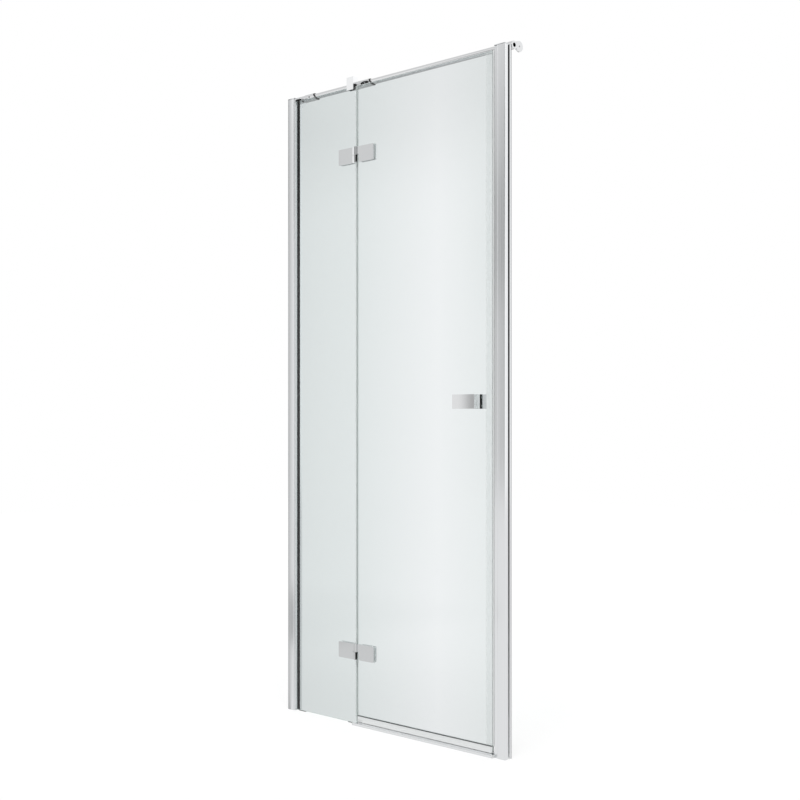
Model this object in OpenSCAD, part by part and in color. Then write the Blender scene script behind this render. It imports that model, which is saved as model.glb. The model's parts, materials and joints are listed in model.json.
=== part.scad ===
// Recess shower door. A narrow pane is fixed in a wall profile, and a door pane hangs on its
// free edge by two glass-to-glass hinges and swings outwards.
// X runs along the opening, with 0 at its middle. Y runs into the shower, with 0 in the middle
// of the glass. Z is up, with 0 on the shower tray.

/* [Opening] */
// Clear width between the two walls
opening_w = 900; // [870:1:940]
// Height of the wall channels and of the profiles in them
channel_h = 1947; // [1700:1:2150]
// Distance from the left wall to the middle of the gap between the panes
hinge_line = 308; // [290:1:330]

/* [Panes] */
// Thickness of both panes
glass_t = 6; // [5:0.5:8]
// Gap between the two panes
pane_gap = 5; // [4:0.5:6]
// Distance from the channels' top down to the top edges of both panes
pane_drop = 7; // [5:1:40]
// Height of the lower edge of the fixed pane, which is its setting blocks' thickness
fixed_pane_foot = 2; // [1:0.5:5]
// Height of the lower edge of the door pane
door_pane_foot = 16; // [14:0.5:24]
// Length of each setting block
block_l = 30; // [15:1:50]
// Distance from each end of the free width of the fixed pane to its setting block
block_inset = 8; // [2:1:40]

/* [Wall channels] */
// Depth of the channels, from the outside to the shower's side
channel_d = 28; // [26:0.5:36]
// Reach of the channels from the wall
channel_reach = 28; // [24:0.5:32]
// Wall thickness of the channels
channel_wall = 1.8; // [1.2:0.1:2.5]
// Radius of the outer edges of the channels
channel_edge_r = 1; // [0.3:0.1:1.6]
// Distance from the wall to the screw web
web_u = 10; // [8:0.5:12]
// Thickness of the screw web
web_t = 2; // [1.5:0.1:3]
// Width of the slot that the wall screws sit behind
slot_w = 7.2; // [6.5:0.1:8]
// Distance of the slot's middle from the middle of the glass
slot_y = 2; // [-1:0.5:3]
// Thickness of the two ribs beside the slot
rib_t = 1.6; // [1:0.1:2]
// Radius of the wall screw holes
wall_hole_r = 2.5; // [2:0.1:3]
// Height of the lowest wall screw
wall_hole_low = 150; // [80:1:400]
// Distance from the channels' top down to the highest wall screw
wall_hole_drop = 147; // [80:1:400]

/* [Sliding profiles] */
// Slack between a channel and the profile that slides in it
slide_gap = 0.1; // [0.05:0.05:0.3]
// Distance from the screw web to the profile's back
back_gap = 1; // [0.5:0.5:3]
// Reach of the left glazing profile from the wall
glazing_reach = 34; // [33:0.5:38]
// Reach of that profile's leg behind the pane
rear_reach = 41.5; // [38:0.5:46]
// Distance from that leg's end back to the end of the black gasket
gasket_inset = 1.5; // [0.5:0.1:3]
// Reach of the gasket's head on the pane's top edge, from the wall
gasket_head_u = 45; // [36:0.5:50]
// Height of that head
gasket_head_h = 6.5; // [3:0.5:8]
// Reach of the right closing profile from the wall
closing_reach = 39; // [36:0.5:44]
// Wall thickness of the profiles
profile_wall = 1.4; // [1:0.1:2]
// Gap between the back of the glazing pocket and the edge of the pane
pocket_gap = 2; // [1:0.5:3]
// Thickness of the clear seal in front of the pane
front_seal_t = 0.6; // [0.4:0.1:1.5]
// Thickness of the black gasket behind the pane
rear_gasket_t = 1.2; // [0.8:0.1:2]
// Thickness of the end caps on top
cap_t = 3; // [2:0.5:5]
// Length of the cap's tongue that plugs into the profile
cap_tongue = 9; // [4:1:15]
// Slack round the tongue
tongue_gap = 0.2; // [0.1:0.1:0.4]

/* [Locking screws] */
// Height of the lowest locking screw
lock_low = 250; // [200:1:500]
// Distance from the channels' top down to the highest locking screw
lock_drop = 247; // [200:1:500]
// Distance of the locking screws from the wall
lock_u = 22; // [20:0.5:24]
// Radius of the locking screws
lock_r = 1.75; // [1.5:0.05:2]
// Length of a locking screw under its head
lock_l = 7; // [5:0.5:8]
// Radius of its head
lock_head_r = 3.2; // [2.8:0.1:3.5]
// Height of its head
lock_head_h = 2; // [1.5:0.1:2.5]
// Wall thickness of the cover caps over the heads
cover_wall = 1; // [0.8:0.1:1.2]
// Slack between a head and its cover cap
cover_gap = 0.4; // [0.2:0.1:0.6]

/* [Closing magnets] */
// Width of the magnet holder in the closing profile
holder_w = 9.8; // [8:0.2:12]
// Height of the holder above the closing profile's side
holder_t = 2; // [1.8:0.1:3]
// Width of the holder's foot in its groove
holder_foot_w = 5.2; // [4.6:0.1:6]
// Depth of the holder's foot in its groove
holder_foot_t = 2.6; // [2:0.1:3]
// Width of the neck between foot and holder
holder_neck_w = 2.8; // [2:0.1:3.2]
// Height of that neck
holder_neck_t = 1.5; // [1.2:0.1:2]
// Thickness of both magnet strips
magnet_t = 0.9; // [0.6:0.1:1]
// Width of the magnet strip in the frame
frame_magnet_w = 6.2; // [5:0.2:7]
// Gap between the door's magnet seal and the holder
magnet_gap = 0.6; // [0.5:0.1:1.2]
// Depth of the magnet seal from the glass edge to its closing face
magnet_seal_l = 12.4; // [10:0.2:16]
// Width of the chamber that holds the door's magnet
seal_head_w = 10; // [8:0.2:12]
// Length of that chamber
seal_head_l = 7.4; // [5:0.2:8]
// Wall thickness of that chamber
seal_wall = 0.9; // [0.6:0.1:1.2]
// Length of the clip legs of the magnet seal on the glass
magnet_clip_l = 25; // [12:1:30]

/* [Seals] */
// Thickness of the clip legs of every seal
clip_t = 0.8; // [0.5:0.1:1.2]
// Length of the clip legs on the fixed pane's free edge
edge_clip_l = 7.5; // [5:0.5:12]
// Gap between the edge seal's fin and the door pane
fin_gap = 0.3; // [0.2:0.1:0.6]
// Distance of the fin from the middle of the glass
fin_y = 1.9; // [1:0.1:2.5]
// Height of the edge seal's lower end
edge_seal_foot = 23; // [12:1:40]
// Gap between the edge seal and the hinges above and below it
seal_hinge_gap = 2; // [1:0.5:4]
// Height of the clip legs of the bottom seal above the glass edge
bottom_clip_h = 11.5; // [8:0.5:16]
// Height of the bead along the top of those legs
bead_h = 2; // [1:0.1:3]
// Thickness of that bead on the legs
bead_t = 0.6; // [0.3:0.1:1]
// Gap between the bottom seal's skirt and the threshold
skirt_gap = 0.8; // [0.5:0.1:1.5]
// Distance that the skirt leans out from the clip
skirt_lean = 2; // [1:0.5:4]
// Length of the bottom seal's end block at the hinge side
end_block_l = 21; // [12:1:30]
// Distance that the end block's foot is set back under the glass
end_block_step = 1; // [0.5:0.1:1.5]
// Gap between the end block and the end of the glass
end_block_inset = 0.5; // [0.3:0.1:1]

/* [Threshold] */
// Height of the threshold strip
threshold_h = 7.5; // [6:0.5:10]
// Distance from the glass to the strip's front
threshold_front = 23; // [18:0.5:28]
// Distance from the glass to the strip's back
threshold_back = 13; // [8:0.5:16]
// Radius of the strip's upper edges
threshold_edge_r = 1.5; // [1:0.1:2.5]
// Wall thickness of the strip
threshold_wall = 1.5; // [1:0.1:2]
// Distance from the middle of the glass to the strip's inner rib
threshold_rib = 6; // [2:0.5:10]
// Gap between the strip and the edge of the fixed pane
threshold_gap = 0.5; // [0.3:0.1:1]
// Thickness of the strip's end caps
end_cap_t = 3; // [2:0.5:5]
// Length of the end caps' plugs in the strip
plug_l = 8; // [4:1:15]

/* [Hinges] */
// Height of the middle of the lower hinge
hinge_low = 220; // [150:1:400]
// Distance from the panes' top edges down to the middle of the upper hinge
hinge_drop = 210; // [150:1:400]
// Height of the hinge plates
hinge_h = 48; // [40:1:60]
// Distance from the pin to the near edge of a plate
plate_near = 14; // [10:0.5:16]
// Distance from the pin to the far edge of a plate
plate_far = 76; // [72:1:90]
// Radius of the plates' corners
plate_corner_r = 4; // [1:0.5:8]
// Thickness of the outer plates
outer_plate_t = 4.5; // [4:0.5:6]
// Thickness of the inner plates
inner_plate_t = 5; // [4.5:0.5:7]
// Thickness of the gaskets between plates and glass
gasket_t = 1; // [0.5:0.1:2]
// Clearance between the knuckle and the corner of the turning glass
knuckle_gap = 0.5; // [0.4:0.1:1]
// Gap between the knuckle and the fixed plate's sloping edge
shoulder_gap = 1; // [0.5:0.1:2]
// Depth that this edge falls from the plate's front
shoulder_drop = 2.6; // [1:0.1:3]
// Wall thickness of the cradle round the bearing
cradle_wall = 0.9; // [0.6:0.1:1]
// Direction in which the cradle's opening starts, from +X towards the outside
cradle_open_front = 60; // [40:5:80]
// Thickness of the cradle's floor under the bearing
cradle_floor = 1.5; // [1:0.5:3]
// Radius of the hinge pin
pin_r = 2.5; // [2:0.1:3]
// Radial play of the pin in its bearing
pin_play = 0.05; // [0.02:0.01:0.1]
// Distance from the pin's ends to the ends of the hinge
pin_inset = 2.5; // [2:0.5:5]
// Thickness of the thrust washer between cradle and knuckle
washer_t = 1; // [0.5:0.1:2]
// Radial play of the pin in the washer
washer_play = 0.2; // [0.1:0.05:0.3]
// Gap between the washer and the knuckle above it
washer_gap = 0.1; // [0.05:0.05:0.2]
// Distance from the pin to the near hinge screw
screw_near = 32; // [26:1:36]
// Distance from the pin to the far hinge screw
screw_far = 60; // [52:1:64]
// Radius of the hinge screws
screw_r = 3; // [2:0.5:3.5]
// Radius of the hinge screws' countersunk heads
screw_head_r = 5.6; // [5:0.1:6]
// Height of the countersunk heads
screw_head_h = 2.6; // [2:0.1:3]
// Radius of the holes in the glass for the hinge screws
glass_hole_r = 7; // [6:0.5:8]
// Metal left in the outer plate in front of a screw
blind_t = 1.2; // [1:0.1:2]
// Radial slack of pieces that are screwed or pushed together
fit_gap = 0.05; // [0.02:0.01:0.1]

/* [Handle] */
// Height of the middle of the handle
handle_z = 975; // [850:1:1100]
// Height of both handle pieces
handle_h = 40; // [34:1:60]
// Length of the outer handle's plate
handle_l = 81.5; // [60:0.5:120]
// Thickness of the outer handle's plate
handle_t = 5; // [4:0.5:8]
// Width of the leg that carries the plate
leg_w = 20; // [16:0.5:28]
// Distance from the glass to the outer handle's front
handle_reach = 31; // [26:0.5:40]
// Thickness of the black spacer under the leg
spacer_t = 6.6; // [2:0.2:8]
// Distance from the door's glass edge to the handle
handle_inset = 40; // [35:0.5:80]
// Width of the inner knob
knob_w = 26; // [20:0.5:36]
// Depth of the inner knob
knob_d = 17; // [12:0.5:25]
// Thickness of the washer under the knob
knob_washer_t = 1.4; // [1:0.1:3]
// Distance between the two handle screws
handle_screw_pitch = 24; // [20:1:28]
// Radius of the handle screws
handle_screw_r = 2.5; // [2:0.1:3]
// Radius of the handle screws' heads
handle_head_r = 4.25; // [3.8:0.05:5]
// Height of the handle screws' heads
handle_head_h = 3; // [2:0.5:4]
// Thickness of the knob under a screw head
knob_floor = 5; // [3:0.5:7]
// Length of a handle screw in the outer handle's leg
handle_thread = 12; // [8:1:15]
// Radius of the holes in the glass for the handle screws
handle_hole_r = 5; // [4.5:0.1:6]

/* [Stabiliser] */
// Height of the stabiliser bar's axis above the panes' top edges
bar_rise = 10; // [6:0.5:14]
// Distance from the middle of the glass to the bar's axis
bar_y = 26; // [26:0.5:40]
// Radius of the bar
bar_r = 9.5; // [6:0.5:9.5]
// Radius of the brackets' sockets
socket_r = 11.5; // [11.5:0.1:11.8]
// Length of the brackets' sockets from the wall
socket_l = 45; // [34:1:50]
// Depth of a bar's end in its socket
bar_seat = 32; // [20:1:36]
// Radius of the set screws in the sockets
socket_screw_r = 4.6; // [3:0.1:5.5]
// Angle by which they point down from the front
socket_screw_turn = 40; // [0:5:60]
// Metal between such a screw and the socket's end
socket_lip = 1; // [0.5:0.1:4]
// Radius of the hollow in a bracket's wall side
core_r = 6; // [3:0.5:8]
// Depth of that hollow
core_l = 8; // [2:0.5:9]
// Radius of the discs on the wall
rosette_r = 15; // [13:0.5:20]
// Thickness of the discs
rosette_t = 5; // [4:0.5:8]
// Distance of the disc's middle from the bar's axis
rosette_offset = 22; // [20:0.5:24]
// Radius of the screw hole in the discs
rosette_hole_r = 2.6; // [2:0.1:3]
// Radius of the collars
collar_r = 12.5; // [12:0.1:14]
// Length of the collars along their middle
collar_l = 47; // [44:1:60]
// Extra length of the collars' lower side over their upper side
collar_slant = 20; // [8:1:24]
// Radius of the black liners between collars and bar
liner_r = 11.7; // [10.5:0.1:11.7]
// Distance that the liners show beyond the collars' slanted ends
liner_reach = 4; // [1:0.5:6]
// Depth of the lens-shaped window in the clamp's collar
window_depth = 2; // [1:0.1:2.4]
// Length of that window
window_l = 43; // [30:1:43]
// Distance from the start of a collar to its set screw
collar_screw = 25.5; // [22:0.5:28]
// Radius of that set screw
set_screw_r = 2.5; // [2:0.1:3]

/* [Glass clamp] */
// Width of the clamp along the glass
clamp_w = 29; // [24:0.5:34]
// Distance from the clamp to the pane's free edge
clamp_inset = 8.5; // [8:0.5:20]
// Height of the clamp
clamp_h = 39; // [34:1:50]
// Depth to which the clamp grips the glass
clamp_grip = 9; // [6:0.5:14]
// Distance from the middle of the glass to the clamp's front
clamp_front = 9; // [8.8:0.1:12]
// Distance from the middle of the glass to the clamp's back
clamp_back = 10; // [9:0.5:12]
// Thickness of the pad's legs beside the glass
pad_leg = 3.2; // [2:0.1:3.4]
// Thickness of the pad over the glass edge
pad_top = 6; // [3:0.5:8]
// Distance that the pad shows beyond the clamp's ends
pad_end = 1; // [0.3:0.1:2]
// Distance from the clamp's foot up to the pad's foot
pad_lift = 2; // [0:0.5:4]
// Radius of the ring that carries the bars
ring_r = 13; // [12.5:0.1:14]
// Height of the neck between the clamp and the ring
neck_h = 15.6; // [12:0.2:20]
// Gap between the two bars inside the ring
bar_gap = 2; // [1:0.5:4]
// Radius of the clamp's set screws
clamp_screw_r = 2; // [1.5:0.1:2.5]

/* [Hidden] */
$fn = 64;

CUT = 1; // how far a cut runs past the face that it opens
HEX = 6; // sides of a screw's hexagon socket
SOCKET = 0.7; // size of that socket over its screw's radius
SOCKET_DEPTH = 0.6; // its depth over the height of the head or of the grub screw
OPEN_BACK = 90; // direction in which a hinge cradle's opening ends, from +X to the shower
FIXED = -1; // the side of the hinge line where the fixed pane lies
DOOR = 1; // the side of the hinge line where the door lies

half_w = opening_w / 2;
half_glass = glass_t / 2;
pane_top = channel_h - pane_drop;

// wall channels and profiles, as distances u from their wall
inner_half = channel_d / 2 - channel_wall;
profile_half = inner_half - slide_gap;
profile_u = web_u + web_t + back_gap;
wall_hole_high = channel_h - wall_hole_drop;
wall_hole_mid = (wall_hole_low + wall_hole_high) / 2;
lock_high = channel_h - lock_drop;
lock_heights = [lock_low, (lock_low + lock_high) / 2, lock_high];
cover_r = lock_head_r + cover_gap + cover_wall;
pocket_front = half_glass + front_seal_t;
pocket_back = half_glass + rear_gasket_t;
pocket_u = profile_u + profile_wall;
pane_u = pocket_u + pocket_gap;

// places along the opening
axis_x = hinge_line - half_w;
fixed_edge = axis_x - pane_gap / 2;
door_edge = axis_x + pane_gap / 2;
closing_x = half_w - closing_reach;
seal_face = closing_x - holder_t - magnet_gap;
door_end = seal_face - magnet_seal_l;

// hinges, as heights from their middle
plate_face = -half_glass - gasket_t;
axis_y = plate_face - outer_plate_t;
knuckle_r = norm([pane_gap / 2, gasket_t + outer_plate_t]) - knuckle_gap;
bearing_r = knuckle_r - cradle_wall;
half_hinge = hinge_h / 2;
hinge_high = pane_top - hinge_drop;
cradle_top = -washer_t / 2;
knuckle_foot = washer_t / 2 + washer_gap;
hinge_heights = [hinge_low, hinge_high];

// lower seal and threshold
skirt_foot = threshold_h + skirt_gap;
bridge = door_pane_foot - clip_t;
strip_start = fixed_edge + threshold_gap;
magnet_foot = door_pane_foot + bottom_clip_h + clip_t;

// handle
handle_end = door_end - handle_inset;
leg_x = handle_end - leg_w / 2;
handle_heights = [handle_z - handle_screw_pitch / 2, handle_z + handle_screw_pitch / 2];
spacer_y = -(half_glass + spacer_t);
knob_y = half_glass + knob_washer_t;

// stabiliser and clamp
bar_z = pane_top + bar_rise;
bracket_end = socket_l - half_w;
socket_screw_u = socket_l - socket_screw_r - socket_lip;
clamp_end = fixed_edge - clamp_inset;
clamp_start = clamp_end - clamp_w;
clamp_mid = (clamp_start + clamp_end) / 2;
clamp_screws_x = [clamp_start + clamp_w / 4, clamp_end - clamp_w / 4];
clamp_foot = pane_top - clamp_grip;
groove_half = half_glass + pad_leg;
groove_top = pane_top + pad_top;
rosette_y = bar_y + rosette_offset;

ALUMINIUM = [0.87, 0.88, 0.89];
CHROME = [0.80, 0.81, 0.83];
GLASS = [0.84, 0.92, 0.90, 0.35];
CLEAR = [0.90, 0.93, 0.93, 0.6];
BLACK = [0.06, 0.06, 0.06];
STEEL = [0.62, 0.63, 0.65];
WHITE = [0.92, 0.92, 0.92];

// ---- shared shapes ----

// Rectangle with round corners, from one corner to the other
module round_rect(x0, y0, x1, y1, r) {
  translate([x0 + r, y0]) square([x1 - x0 - 2 * r, y1 - y0]);
  translate([x0, y0 + r]) square([x1 - x0, y1 - y0 - 2 * r]);
  for (x = [x0 + r, x1 - r], y = [y0 + r, y1 - r]) translate([x, y]) circle(r);
}

// Rectangle from one corner to the other
module rect(x0, y0, x1, y1) {
  translate([x0, y0]) square([x1 - x0, y1 - y0]);
}

// Box from one corner to the other
module box(a, b) {
  translate(a) cube(b - a);
}

// Rod along X
module rod_x(x0, x1, r) {
  translate([x0, 0, 0]) rotate([0, 90, 0]) cylinder(h = x1 - x0, r = r);
}

// Rod along Y
module rod_y(y0, y1, r) {
  translate([0, y0, 0]) rotate([-90, 0, 0]) cylinder(h = y1 - y0, r = r);
}

// Section drawn in X and Y, standing between two heights
module upright(z0, z1) {
  translate([0, 0, z0]) linear_extrude(z1 - z0) children();
}

// Outline drawn in X and Z, as thick as the two given places along Y
module slab(y0, y1) {
  translate([0, y1, 0]) rotate([90, 0, 0]) linear_extrude(y1 - y0) children();
}

// Section drawn in Y and Z, running along X
module along_x(x0, x1) {
  translate([x0, 0, 0]) rotate([90, 0, 90]) linear_extrude(x1 - x0) children();
}

// Places drawn from the left wall, and the mirrored ones from the right wall
module from_left() {
  translate([-half_w, 0, 0]) children();
}

module from_right() {
  translate([half_w, 0, 0]) mirror([1, 0, 0]) children();
}

// Two legs that clip a seal to the glass, between two distances along the glass
module clip_legs(from, to) {
  rect(from, half_glass, to, half_glass + clip_t);
  rect(from, -half_glass - clip_t, to, -half_glass);
}

// ---- wall channels and profiles ----

module wall_channel() {
  difference() {
    upright(0, channel_h) difference() {
      round_rect(0, -channel_d / 2, channel_reach, channel_d / 2, channel_edge_r);
      rect(web_u + web_t, -inner_half, channel_reach + CUT, inner_half);
      rect(-CUT, slot_y - slot_w / 2, web_u, slot_y + slot_w / 2);
      rect(channel_wall, -inner_half, web_u, slot_y - slot_w / 2 - rib_t);
      rect(channel_wall, slot_y + slot_w / 2 + rib_t, web_u, inner_half);
    }
    for (z = [wall_hole_low, wall_hole_mid, wall_hole_high])
      translate([0, slot_y, z]) rod_x(web_u - CUT, web_u + web_t + CUT, wall_hole_r);
    for (z = lock_heights)
      translate([lock_u, 0, z]) rod_y(inner_half - CUT, channel_d / 2 + CUT, lock_r + fit_gap);
  }
}

module lock_holes() {
  for (z = lock_heights)
    translate([lock_u, 0, z])
      rod_y(profile_half - profile_wall - CUT, profile_half + CUT, lock_r + fit_gap);
}

module glazing_profile() {
  front_end = glazing_reach - profile_wall;
  rear_end = rear_reach - profile_wall;
  difference() {
    upright(0, channel_h) difference() {
      union() {
        rect(profile_u, -profile_half, glazing_reach, 0);
        rect(profile_u, 0, rear_reach, profile_half);
      }
      rect(pocket_u, -pocket_front, rear_reach + CUT, pocket_back);
      rect(pocket_u, -profile_half + profile_wall, front_end, -pocket_front - profile_wall);
      rect(pocket_u, pocket_back + profile_wall, rear_end, profile_half - profile_wall);
    }
    lock_holes();
  }
}

module closing_profile() {
  groove = closing_reach - holder_neck_t - holder_foot_t - fit_gap;
  neck_half = holder_neck_w / 2 + fit_gap;
  foot_half = holder_foot_w / 2 + fit_gap;
  difference() {
    upright(0, channel_h) difference() {
      rect(profile_u, -profile_half, closing_reach, profile_half);
      rect(pocket_u, -profile_half + profile_wall, groove - profile_wall,
        profile_half - profile_wall);
      rect(groove, -foot_half, closing_reach - holder_neck_t + fit_gap, foot_half);
      rect(groove, -neck_half, closing_reach + CUT, neck_half);
    }
    lock_holes();
  }
}

// The cap leaves the slot and the glass pocket open
module top_cap(reach, tongue_end, pocket) {
  upright(channel_h, channel_h + cap_t) difference() {
    union() {
      round_rect(0, -channel_d / 2, reach, channel_d / 2, channel_edge_r);
      if (pocket) rect(web_u, pocket_back, rear_reach, profile_half);
    }
    rect(-CUT, slot_y - slot_w / 2, web_u, channel_d / 2 + CUT);
    if (pocket) rect(pane_u, -pocket_front, reach + CUT, pocket_back);
  }
  upright(channel_h - cap_tongue, channel_h)
    rect(pocket_u + tongue_gap, -profile_half + profile_wall + tongue_gap,
      tongue_end - tongue_gap, -pocket_front - profile_wall - tongue_gap);
}

module lock_screws() {
  for (z = lock_heights) translate([lock_u, channel_d / 2, z]) difference() {
    union() {
      rod_y(-lock_l, lock_head_h, lock_r);
      rod_y(0, lock_head_h, lock_head_r);
    }
    rotate([-90, 0, 0]) cylinder(h = lock_head_h + CUT, r = lock_r, $fn = HEX);
  }
}

module screw_covers() {
  head_room = lock_head_h + cover_gap;
  for (z = lock_heights) translate([lock_u, channel_d / 2, z]) difference() {
    rod_y(0, head_room + cover_wall, cover_r);
    rod_y(-CUT, head_room, lock_head_r + cover_gap);
  }
}

module left_wall_channel() {
  color(ALUMINIUM) from_left() wall_channel();
}

module right_wall_channel() {
  color(ALUMINIUM) from_right() wall_channel();
}

module left_glazing_profile() {
  color(ALUMINIUM) from_left() glazing_profile();
}

module right_closing_profile() {
  color(ALUMINIUM) from_right() closing_profile();
}

module left_top_cap() {
  color(ALUMINIUM) from_left() top_cap(glazing_reach, glazing_reach - profile_wall, true);
}

module right_top_cap() {
  tongue_end = closing_reach - holder_neck_t - holder_foot_t - fit_gap - profile_wall;
  color(ALUMINIUM) from_right() top_cap(closing_reach, tongue_end, false);
}

module front_glazing_seal() {
  color(CLEAR) from_left() upright(fixed_pane_foot, pane_top)
    rect(pane_u, -pocket_front, glazing_reach, -half_glass);
}

module rear_glazing_gasket() {
  color(BLACK) from_left() {
    upright(fixed_pane_foot, pane_top)
      rect(pane_u, half_glass, rear_reach - gasket_inset, pocket_back);
    upright(pane_top, pane_top + gasket_head_h)
      rect(pane_u, -half_glass, gasket_head_u, pocket_back);
  }
}

module left_lock_screws() {
  color(STEEL) from_left() lock_screws();
}

module right_lock_screws() {
  color(STEEL) from_right() lock_screws();
}

module left_screw_covers() {
  color(CHROME) from_left() screw_covers();
}

module right_screw_covers() {
  color(CHROME) from_right() screw_covers();
}

// ---- closing magnets ----

// Holder head, neck and foot, with a chamber for the magnet strip
module magnet_holder() {
  neck = closing_reach - holder_neck_t;
  color(WHITE) from_right() upright(skirt_foot, channel_h) difference() {
    union() {
      rect(closing_reach, -holder_w / 2, closing_reach + holder_t, holder_w / 2);
      rect(neck, -holder_neck_w / 2, closing_reach, holder_neck_w / 2);
      rect(neck - holder_foot_t, -holder_foot_w / 2, neck, holder_foot_w / 2);
    }
    magnet_strip_2d(fit_gap);
  }
}

module magnet_strip_2d(slack) {
  middle = closing_reach + holder_t / 2;
  rect(middle - magnet_t / 2 - slack, -frame_magnet_w / 2 - slack,
    middle + magnet_t / 2 + slack, frame_magnet_w / 2 + slack);
}

module frame_magnet() {
  color(BLACK) from_right() upright(magnet_foot, pane_top) magnet_strip_2d(0);
}

// ---- fixed pane ----

// Holes through a pane for the hinge screws on its side
module hinge_holes(side, r, y0, y1) {
  for (z = hinge_heights, x = [screw_near, screw_far])
    translate([axis_x + side * x, 0, z]) rod_y(y0, y1, r);
}

module fixed_pane() {
  color(GLASS) difference() {
    box([pane_u - half_w, -half_glass, fixed_pane_foot], [fixed_edge, half_glass, pane_top]);
    hinge_holes(FIXED, glass_hole_r, -glass_t, glass_t);
  }
}

module setting_blocks() {
  first = glazing_reach - half_w + block_inset;
  last = fixed_edge - block_inset - block_l;
  color(BLACK) for (x = [first, last])
    box([x, -half_glass, 0], [x + block_l, half_glass, fixed_pane_foot]);
}

// Clear seal with a fin that closes the gap to the door, cut out round the hinges
module edge_seal() {
  keep_out = half_hinge + seal_hinge_gap;
  stretches = [
    [edge_seal_foot, hinge_low - keep_out],
    [hinge_low + keep_out, hinge_high - keep_out],
    [hinge_high + keep_out, pane_top]
  ];
  color(CLEAR) for (s = stretches) upright(s[0], s[1]) {
    clip_legs(fixed_edge - edge_clip_l, fixed_edge + clip_t);
    rect(fixed_edge, -half_glass, fixed_edge + clip_t, half_glass);
    rect(fixed_edge, fin_y - clip_t / 2, door_edge - fin_gap, fin_y + clip_t / 2);
  }
}

// ---- hinges ----

module leaf_outline(side) {
  ends = side == DOOR ? [plate_near, plate_far] : [-plate_far, -plate_near];
  translate([axis_x, 0]) round_rect(ends[0], -half_hinge, ends[1], half_hinge, plate_corner_r);
}

// Outer plate with its blind screw holes, joined to the shape given with it
module outer_leaf(side) {
  difference() {
    union() {
      slab(axis_y, plate_face) leaf_outline(side);
      children();
    }
    for (x = [screw_near, screw_far]) translate([axis_x + side * x, 0, 0])
      rod_y(axis_y + blind_t, plate_face + CUT, screw_r + fit_gap);
  }
}

// Sloping edge of the fixed plate beside the barrel, between two heights
module shoulder(z0, z1) {
  edge = axis_x - plate_near;
  end = axis_x - knuckle_r - shoulder_gap;
  upright(z0, z1)
    polygon([[edge - plate_corner_r, plate_face], [edge - plate_corner_r, axis_y],
      [edge, axis_y], [end, axis_y + shoulder_drop], [end, plate_face]]);
}

// Half-round shell, open towards the door, on a closed floor
module cradle() {
  reach = 2 * knuckle_r;
  translate([axis_x, axis_y, 0]) {
    difference() {
      translate([0, 0, -half_hinge]) cylinder(h = half_hinge + cradle_top, r = knuckle_r);
      translate([0, 0, cradle_floor - half_hinge]) linear_extrude(hinge_h)
        polygon([[0, 0], reach * [cos(cradle_open_front), -sin(cradle_open_front)],
          reach * [1, -1], reach * [1, 1], reach * [cos(OPEN_BACK), sin(OPEN_BACK)]]);
    }
  }
}

module fixed_leaf() {
  difference() {
    outer_leaf(FIXED) union() {
      shoulder(-half_hinge, cradle_top);
      shoulder(knuckle_foot, half_hinge);
      box([axis_x - plate_near, axis_y + shoulder_drop, -half_hinge],
        [axis_x, plate_face, cradle_top]);
      cradle();
    }
    translate([axis_x, axis_y, cradle_floor - half_hinge])
      cylinder(h = hinge_h, r = bearing_r + fit_gap);
  }
}

module door_leaf() {
  difference() {
    outer_leaf(DOOR) union() {
      box([axis_x, axis_y, knuckle_foot],
        [axis_x + plate_near + plate_corner_r, plate_face, half_hinge]);
      translate([axis_x, axis_y, knuckle_foot])
        cylinder(h = half_hinge - knuckle_foot, r = knuckle_r);
    }
    translate([axis_x, axis_y, 0]) cylinder(h = half_hinge - pin_inset, r = pin_r + fit_gap);
  }
}

// Plate on the shower's side with countersunk holes
module inner_plate(side) {
  face = half_glass + gasket_t;
  back = face + inner_plate_t;
  difference() {
    slab(face, back) leaf_outline(side);
    for (x = [screw_near, screw_far]) translate([axis_x + side * x, 0, 0]) {
      rod_y(face - CUT, back + CUT, screw_r + fit_gap);
      translate([0, back - screw_head_h - fit_gap, 0]) head_cone(fit_gap);
    }
  }
}

// Countersunk head that widens towards +Y
module head_cone(slack) {
  rotate([-90, 0, 0])
    cylinder(h = screw_head_h + slack, r1 = screw_r + slack, r2 = screw_head_r + slack);
}

module hinge_gaskets(side) {
  for (z = hinge_heights) translate([0, 0, z]) difference() {
    union() {
      slab(plate_face, -half_glass) leaf_outline(side);
      slab(half_glass, half_glass + gasket_t) leaf_outline(side);
    }
    for (x = [screw_near, screw_far])
      translate([axis_x + side * x, 0, 0]) rod_y(-glass_t, glass_t, screw_r + fit_gap);
  }
}

module hinge_screws(side) {
  back = half_glass + gasket_t + inner_plate_t;
  tip = axis_y + blind_t + fit_gap;
  for (z = hinge_heights, x = [screw_near, screw_far])
    translate([axis_x + side * x, 0, z]) difference() {
      union() {
        rod_y(tip, back - screw_head_h, screw_r);
        translate([0, back - screw_head_h, 0]) head_cone(0);
      }
      translate([0, back - screw_head_h, 0]) rotate([-90, 0, 0])
        cylinder(h = screw_head_h + CUT, r = screw_r * SOCKET, $fn = HEX);
    }
}

module hinge_sleeves(side) {
  for (z = hinge_heights, x = [screw_near, screw_far])
    translate([axis_x + side * x, 0, z]) difference() {
      rod_y(-half_glass, half_glass, glass_hole_r - fit_gap);
      rod_y(-glass_t, glass_t, screw_r + fit_gap);
    }
}

module top_hinge_fixed_leaf() {
  color(CHROME) translate([0, 0, hinge_high]) fixed_leaf();
}

module bottom_hinge_fixed_leaf() {
  color(CHROME) translate([0, 0, hinge_low]) fixed_leaf();
}

module top_hinge_fixed_plate() {
  color(CHROME) translate([0, 0, hinge_high]) inner_plate(FIXED);
}

module bottom_hinge_fixed_plate() {
  color(CHROME) translate([0, 0, hinge_low]) inner_plate(FIXED);
}

module top_hinge_door_leaf() {
  color(CHROME) translate([0, 0, hinge_high]) door_leaf();
}

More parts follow.
